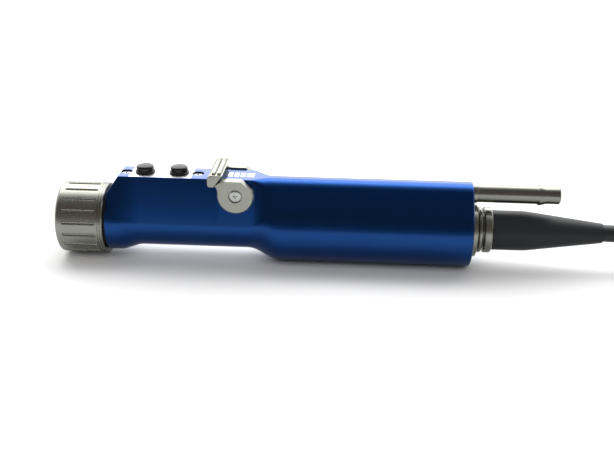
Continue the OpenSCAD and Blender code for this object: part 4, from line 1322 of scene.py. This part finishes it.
@dataclass
class SuctionLever:
    """Two-eared lever with a ridged thumb bar, and the screw through each ear.

    Attributes:
        reach: Reach of the thumb bar in front of the pivot.
        ear_gap: Gap between an ear and the floor of its pocket.
        arm_relief: Extra gap beside the flat, in front of the hub.
        bar_proud: How far the thumb bar stands out past the ears.
    """

    reach: float = 11.2
    hub_r: float = 7.4
    ear_in: float = 7.2
    ear_out: float = 11.5
    arm_relief: float = 0.45
    bar_proud: float = 0.4
    bar_gap: float = 0.5
    hub_flat: float = 6.2
    hub_edge: float = 0.45
    neck_top_share: float = -0.491
    ridge_h: float = 1.0
    ridge_inset: float = 1.2
    head_r: float = 2.45
    head_sink: float = 0.15
    head_t: float = 1.2
    ring_gap: float = 0.3
    hole_r: float = 1.3
    shank_r: float = 1.25
    screw_len: float = 7.0
    bar_shares: tuple[Point2, ...] = ((-0.75, 0.348), (-0.821, 0.326), (-0.964, 0.339), (-1.0, 0.411),
                                      (-1.0, 0.661), (-0.973, 0.723), (-0.884, 0.781), (-0.455, 0.768))
    neck_shares: tuple[Point2, ...] = ((-0.77, 0.36), (-0.72, 0.345), (-0.665, 0.27), (-0.643, 0.143),
                                       (0.0, 0.0))
    ridge_shares: tuple[float, ...] = (-0.775, -0.58)
    ridge_base_share: float = 0.765
    ridge_half_foot: float = 0.9
    ridge_half_top: float = 0.55

    def build(self) -> None:
        """Makes the lever and its screws."""
        low, high = span("valve_spool")
        self.pivot = (low + high) / 2
        flat_h = span("main_housing")[1].z
        bar_section = [(self.reach * x, self.reach * z) for x, z in self.bar_shares]
        neck = [(self.reach * x, self.reach * z) for x, z in self.neck_shares]
        neck += [(0.0, self.hub_flat), (self.reach * self.neck_top_share, self.hub_flat)]
        ears = []
        for way in (Along.FAR, Along.NEAR):
            mirror = 1 if way is Along.NEAR else -1
            parts = [self.hub(way)]
            for outline, out in ((neck, self.ear_out), (bar_section, self.ear_out + self.bar_proud)):
                turned_outline = [(mirror * x, z) for x, z in outline]
                parts.append(slab(turned_outline, self.ear_in + self.arm_relief, out, way, self.pivot, 0.3))
            ears += parts
        middle = slab(bar_section, -self.ear_in - self.arm_relief - 0.4,
                      self.ear_in + self.arm_relief + 0.4, Along.NEAR, self.pivot)
        trim = block((self.pivot.x - 2 * self.reach, -2 * self.ear_out, 0),
                     (self.pivot.x + self.reach, 2 * self.ear_out, flat_h + self.bar_gap))
        middle = combined(middle, [trim], Combine.CUT)
        ridges = [self.ridge(share) for share in self.ridge_shares]
        mesh = combined(middle, ears + ridges, Combine.JOIN)
        cutters = []
        for way in (Along.FAR, Along.NEAR):
            seat = self.ear_out - self.head_sink - self.head_t
            cutters.append(bar(self.head_r + self.ring_gap, seat, self.ear_out + OVERRUN, way, self.pivot))
            cutters.append(bar(self.hole_r, self.ear_in - OVERRUN, self.ear_out, way, self.pivot, SMALL_STEPS))
        mesh = combined(mesh, cutters, Combine.CUT)
        finished(mesh, "suction_lever_milled", Finishes.tumbled_steel, "lever",
                 ["suction_lever"], sharp=28.0)
        screws = []
        for way, side in ((Along.FAR, 1), (Along.NEAR, -1)):
            top = self.pivot + Vector((0, side * (self.ear_out - self.head_sink), 0))
            screws.append(cross_screw(self.head_r, self.head_t, self.shank_r, self.screw_len, way, top))
        finished(gathered(screws), "lever_screws_turned", Finishes.screw_steel, "lever",
                 ["lever_screws"])

    def hub(self, way: Along) -> Solid:
        """Hub disc with a chamfered rim, cut by a flat on top and one towards the rear."""
        mesh = turned([(self.ear_in, 0), (self.ear_in, self.hub_r), (self.ear_out - self.hub_edge, self.hub_r),
                       (self.ear_out, self.hub_r - self.hub_edge), (self.ear_out, 0)], way, self.pivot)
        for angle in (90, 50):
            normal = Vector((math.cos(math.radians(angle)), 0, math.sin(math.radians(angle))))
            geometry = mesh.verts[:] + mesh.edges[:] + mesh.faces[:]
            cut = bmesh.ops.bisect_plane(mesh, geom=geometry, plane_co=self.pivot + normal * self.hub_flat,
                                         plane_no=normal, clear_outer=True)["geom_cut"]
            rims = [item for item in cut if isinstance(item, bmesh.types.BMEdge)]
            bmesh.ops.contextual_create(mesh, geom=rims)
        bmesh.ops.recalc_face_normals(mesh, faces=mesh.faces)
        return mesh

    def ridge(self, share: float) -> Solid:
        """Raised ridge across the thumb bar."""
        x, z = self.reach * share, self.reach * self.ridge_base_share
        outline = [(x - self.ridge_half_foot, z - 0.4), (x + self.ridge_half_foot, z - 0.4),
                   (x + self.ridge_half_foot, z), (x + self.ridge_half_top, z + self.ridge_h),
                   (x - self.ridge_half_top, z + self.ridge_h), (x - self.ridge_half_foot, z)]
        half = self.ear_out - self.ridge_inset
        return slab(outline, -half, half, Along.NEAR, self.pivot, 0.15)


@dataclass
class RearEnd:
    """Suction tube, threaded cap, cable gland and the boot behind them.

    Attributes:
        tube_r: Radius of the suction tube.
        spigot_r: Radius of the tube behind its barb.
        cap_bore_r: Radius of the cap's bore, which the gland's root fills.
        gland_neck_r: Radius of the gland's neck.
        ring_ends: Start and end of the gland's narrow ring behind the cap.
        nut_seat: Distance from the nut's front to its seat on the boot.
        boot_straight_share: Share of the boot that is straight.
    """

    tube_r: float = 3.72
    cap_bore_r: float = 6.0
    gland_neck_r: float = 7.0
    ring_ends: Point2 = (0.5, 2.2)
    nut_seat: float = 0.8
    tube_wall: float = 1.0
    barb_len: float = 3.0
    barb_back: float = 0.7
    spigot_r: float = 3.6
    spigot_len: float = 5.5
    chamfer: float = 0.4
    boot_straight_share: float = 0.3
    boot_tip_r: float = 4.1
    boot_root_r: float = 6.6
    boot_shoulder: float = 2.6
    boot_drop: float = 0.16

    def build(self) -> None:
        """Makes the tube, its collar, the cap, the gland, the nut and the boot."""
        self.make_tube()
        self.make_cap()
        self.make_gland()
        self.make_boot()

    def make_tube(self) -> None:
        """Barbed tube and the short sleeve that it leaves the housing in."""
        low, high = span("suction_tube")
        collar_low, collar_high = span("tube_collar")
        height = (collar_low.z + collar_high.z) / 2
        barb_r = high.y
        radius = self.tube_r
        bore = radius - self.tube_wall
        spigot_x = high.x - self.spigot_len
        barb_x = spigot_x - self.barb_len - self.barb_back
        top_x = barb_x + self.barb_back
        profile = [(low.x, bore), (low.x, radius), (barb_x - 0.1, radius), (barb_x + 0.1, radius + 0.08),
                   (top_x - 0.15, barb_r - 0.06), (top_x + 0.1, barb_r), (top_x + 0.45, barb_r - 0.04),
                   (spigot_x - 0.1, self.spigot_r + 0.06), (spigot_x + 0.15, self.spigot_r),
                   (high.x - self.chamfer, self.spigot_r), (high.x - 0.1, self.spigot_r - self.chamfer * 0.6),
                   (high.x, self.spigot_r - self.chamfer), (high.x, bore + 0.15), (high.x - 0.15, bore)]
        mesh = turned(profile, origin=(0, 0, height), steps=SMALL_STEPS * 2)
        finished(mesh, "suction_tube_drawn", Finishes.drawn_tube,
                 replaces=["suction_tube"], sharp=35.0)
        collar_r = collar_high.y
        profile = [(collar_low.x, radius), (collar_low.x, collar_r), (collar_high.x - 0.12, collar_r),
                   (collar_high.x, collar_r - 0.1), (collar_high.x, radius)]
        mesh = turned(profile, origin=(0, 0, height), steps=SMALL_STEPS * 2)
        finished(mesh, "tube_collar_turned", Finishes.nickel, replaces=["tube_collar"])

    def make_cap(self) -> None:
        """Threaded cap that closes the housing."""
        low, high = span("rear_cap")
        radius = high.y
        bore = self.cap_bore_r
        profile = [(low.x, bore), (low.x, radius), (high.x - 0.5, radius), (high.x - 0.15, radius - 0.15),
                   (high.x, radius - 0.5), (high.x, bore)]
        finished(turned(profile), "rear_cap_turned", Finishes.nickel,
                 replaces=["rear_cap"])

    def make_gland(self) -> None:
        """Gland with a narrow ring, a groove, and the nut that clamps the boot."""
        low, high = span("gland_body")
        nut_low, nut_high = span("gland_nut")
        radius = high.y
        cable_r = span("cable_core")[1].y
        root_r, neck_r = self.cap_bore_r, self.gland_neck_r
        root_end = span("rear_cap")[1].x
        ring = [root_end + end for end in self.ring_ends]
        profile = [(low.x, cable_r), (low.x, root_r), (root_end, root_r), (root_end, neck_r), (ring[0], neck_r),
                   *self.rim(ring[0], ring[1], radius), (ring[1], neck_r), (high.x, neck_r), (high.x, cable_r)]
        finished(turned(profile), "gland_body_turned", Finishes.nickel,
                 replaces=["gland_body"])
        seat = nut_low.x + self.nut_seat
        profile = [(nut_low.x, neck_r + CLEARANCE), *self.rim(nut_low.x, nut_high.x, radius),
                   (nut_high.x, self.boot_root_r), (seat, self.boot_root_r), (seat, neck_r + CLEARANCE)]
        finished(turned(profile), "gland_nut_turned", Finishes.nickel,
                 replaces=["gland_nut"])

    def rim(self, start: float, end: float, radius: float) -> list[Point2]:
        """Outside of a ring with soft chamfers at both ends."""
        edge, soft = 0.45, 0.12
        half = soft * 0.5
        return [(start, radius - edge - soft), (start + half, radius - edge), (start + edge, radius - half),
                (start + edge + soft, radius), (end - edge - soft, radius), (end - edge, radius - half),
                (end - half, radius - edge), (end, radius - edge - soft)]

    def make_boot(self) -> None:
        """Long boot: a straight grip, a soft shoulder and a taper down to the cable."""
        low, high = span("strain_relief_boot")
        radius = high.y
        cable_r = span("cable_core")[1].y
        start = span("gland_nut")[1].x
        taper = start + self.boot_straight_share * (high.x - start)
        shoulder = []
        slope = (radius - self.boot_drop - self.boot_tip_r) / (high.x - taper - self.boot_shoulder)
        for step in range(9):
            share = step / 8
            x = taper - self.boot_shoulder + 2 * self.boot_shoulder * share
            shoulder.append((x, radius - slope * self.boot_shoulder * share**2))
        end_r = self.boot_tip_r
        root_r = self.boot_root_r
        profile = [(low.x, cable_r), (low.x, root_r), (start, root_r), (start, radius - 0.4),
                   (start + 0.15, radius - 0.1), (start + 0.5, radius), *shoulder]
        last_x, last_r = shoulder[-1]
        for step in range(1, 12):
            share = step / 12
            profile.append((last_x + (high.x - 0.5 - last_x) * share, last_r + (end_r - last_r) * share))
        profile += [(x, r) for r, x in arc((end_r - 0.45, high.x - 0.45), 0.45, 0, 90, 5)]
        profile.append((high.x, cable_r))
        finished(turned(profile), "cable_boot_moulded", Finishes.boot_rubber,
                 replaces=["strain_relief_boot"], sharp=40.0)


@dataclass
class InnerWorks:
    """CAD nodes whose shape is right, with the finish that each gets."""

    finishes: dict[str, Finish] = field(default_factory=lambda: {
        "nose_seal": Finishes.seal_rubber,
        "blade_socket": Finishes.turned_steel,
        "locking_balls": Finishes.screw_steel,
        "collet_spring": Finishes.spring_wire,
        "collet_clip": Finishes.spring_wire,
        "front_magnet": Finishes.magnet_nickel,
        "rear_magnet": Finishes.magnet_nickel,
        "switch_board": Finishes.board,
        "valve_spool": Finishes.tumbled_steel,
        "valve_seals": Finishes.seal_rubber,
        "drive_coupling": Finishes.turned_steel,
        "motor_shaft": Finishes.motor_steel,
        "shaft_seals": Finishes.seal_rubber,
        "front_bearing": Finishes.screw_steel,
        "rear_bearing": Finishes.screw_steel,
        "rotor_magnet": Finishes.magnet_nickel,
        "stator_winding": Finishes.winding,
        "motor_can": Finishes.motor_steel,
        "motor_end_bell": Finishes.motor_steel,
        "motor_retainer": Finishes.motor_steel,
        "cable_clamp": Finishes.moulded_black,
        "cable_core": Finishes.jacket,
        "plug_pins": Finishes.gold,
    })

    def build(self) -> None:
        """Gives each node its finish."""
        for name, finish in self.finishes.items():
            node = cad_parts[name]
            node.data.materials.clear()
            node.data.materials.append(finish.material())
            LOG.info("%s: %s", name, finish.name)


def main() -> None:
    """Builds the studio and every sub-assembly."""
    logging.basicConfig(level=logging.INFO, format="%(name)s %(message)s")
    Studio().build()
    ConsoleCable().build(ConsolePlug().build())
    for group in (Housing(), Collet(), SwitchGroup(), SuctionLever(), RearEnd(), InnerWorks()):
        group.build()
        LOG.info("%s is done", type(group).__name__)


if __name__ == "__main__":
    main()
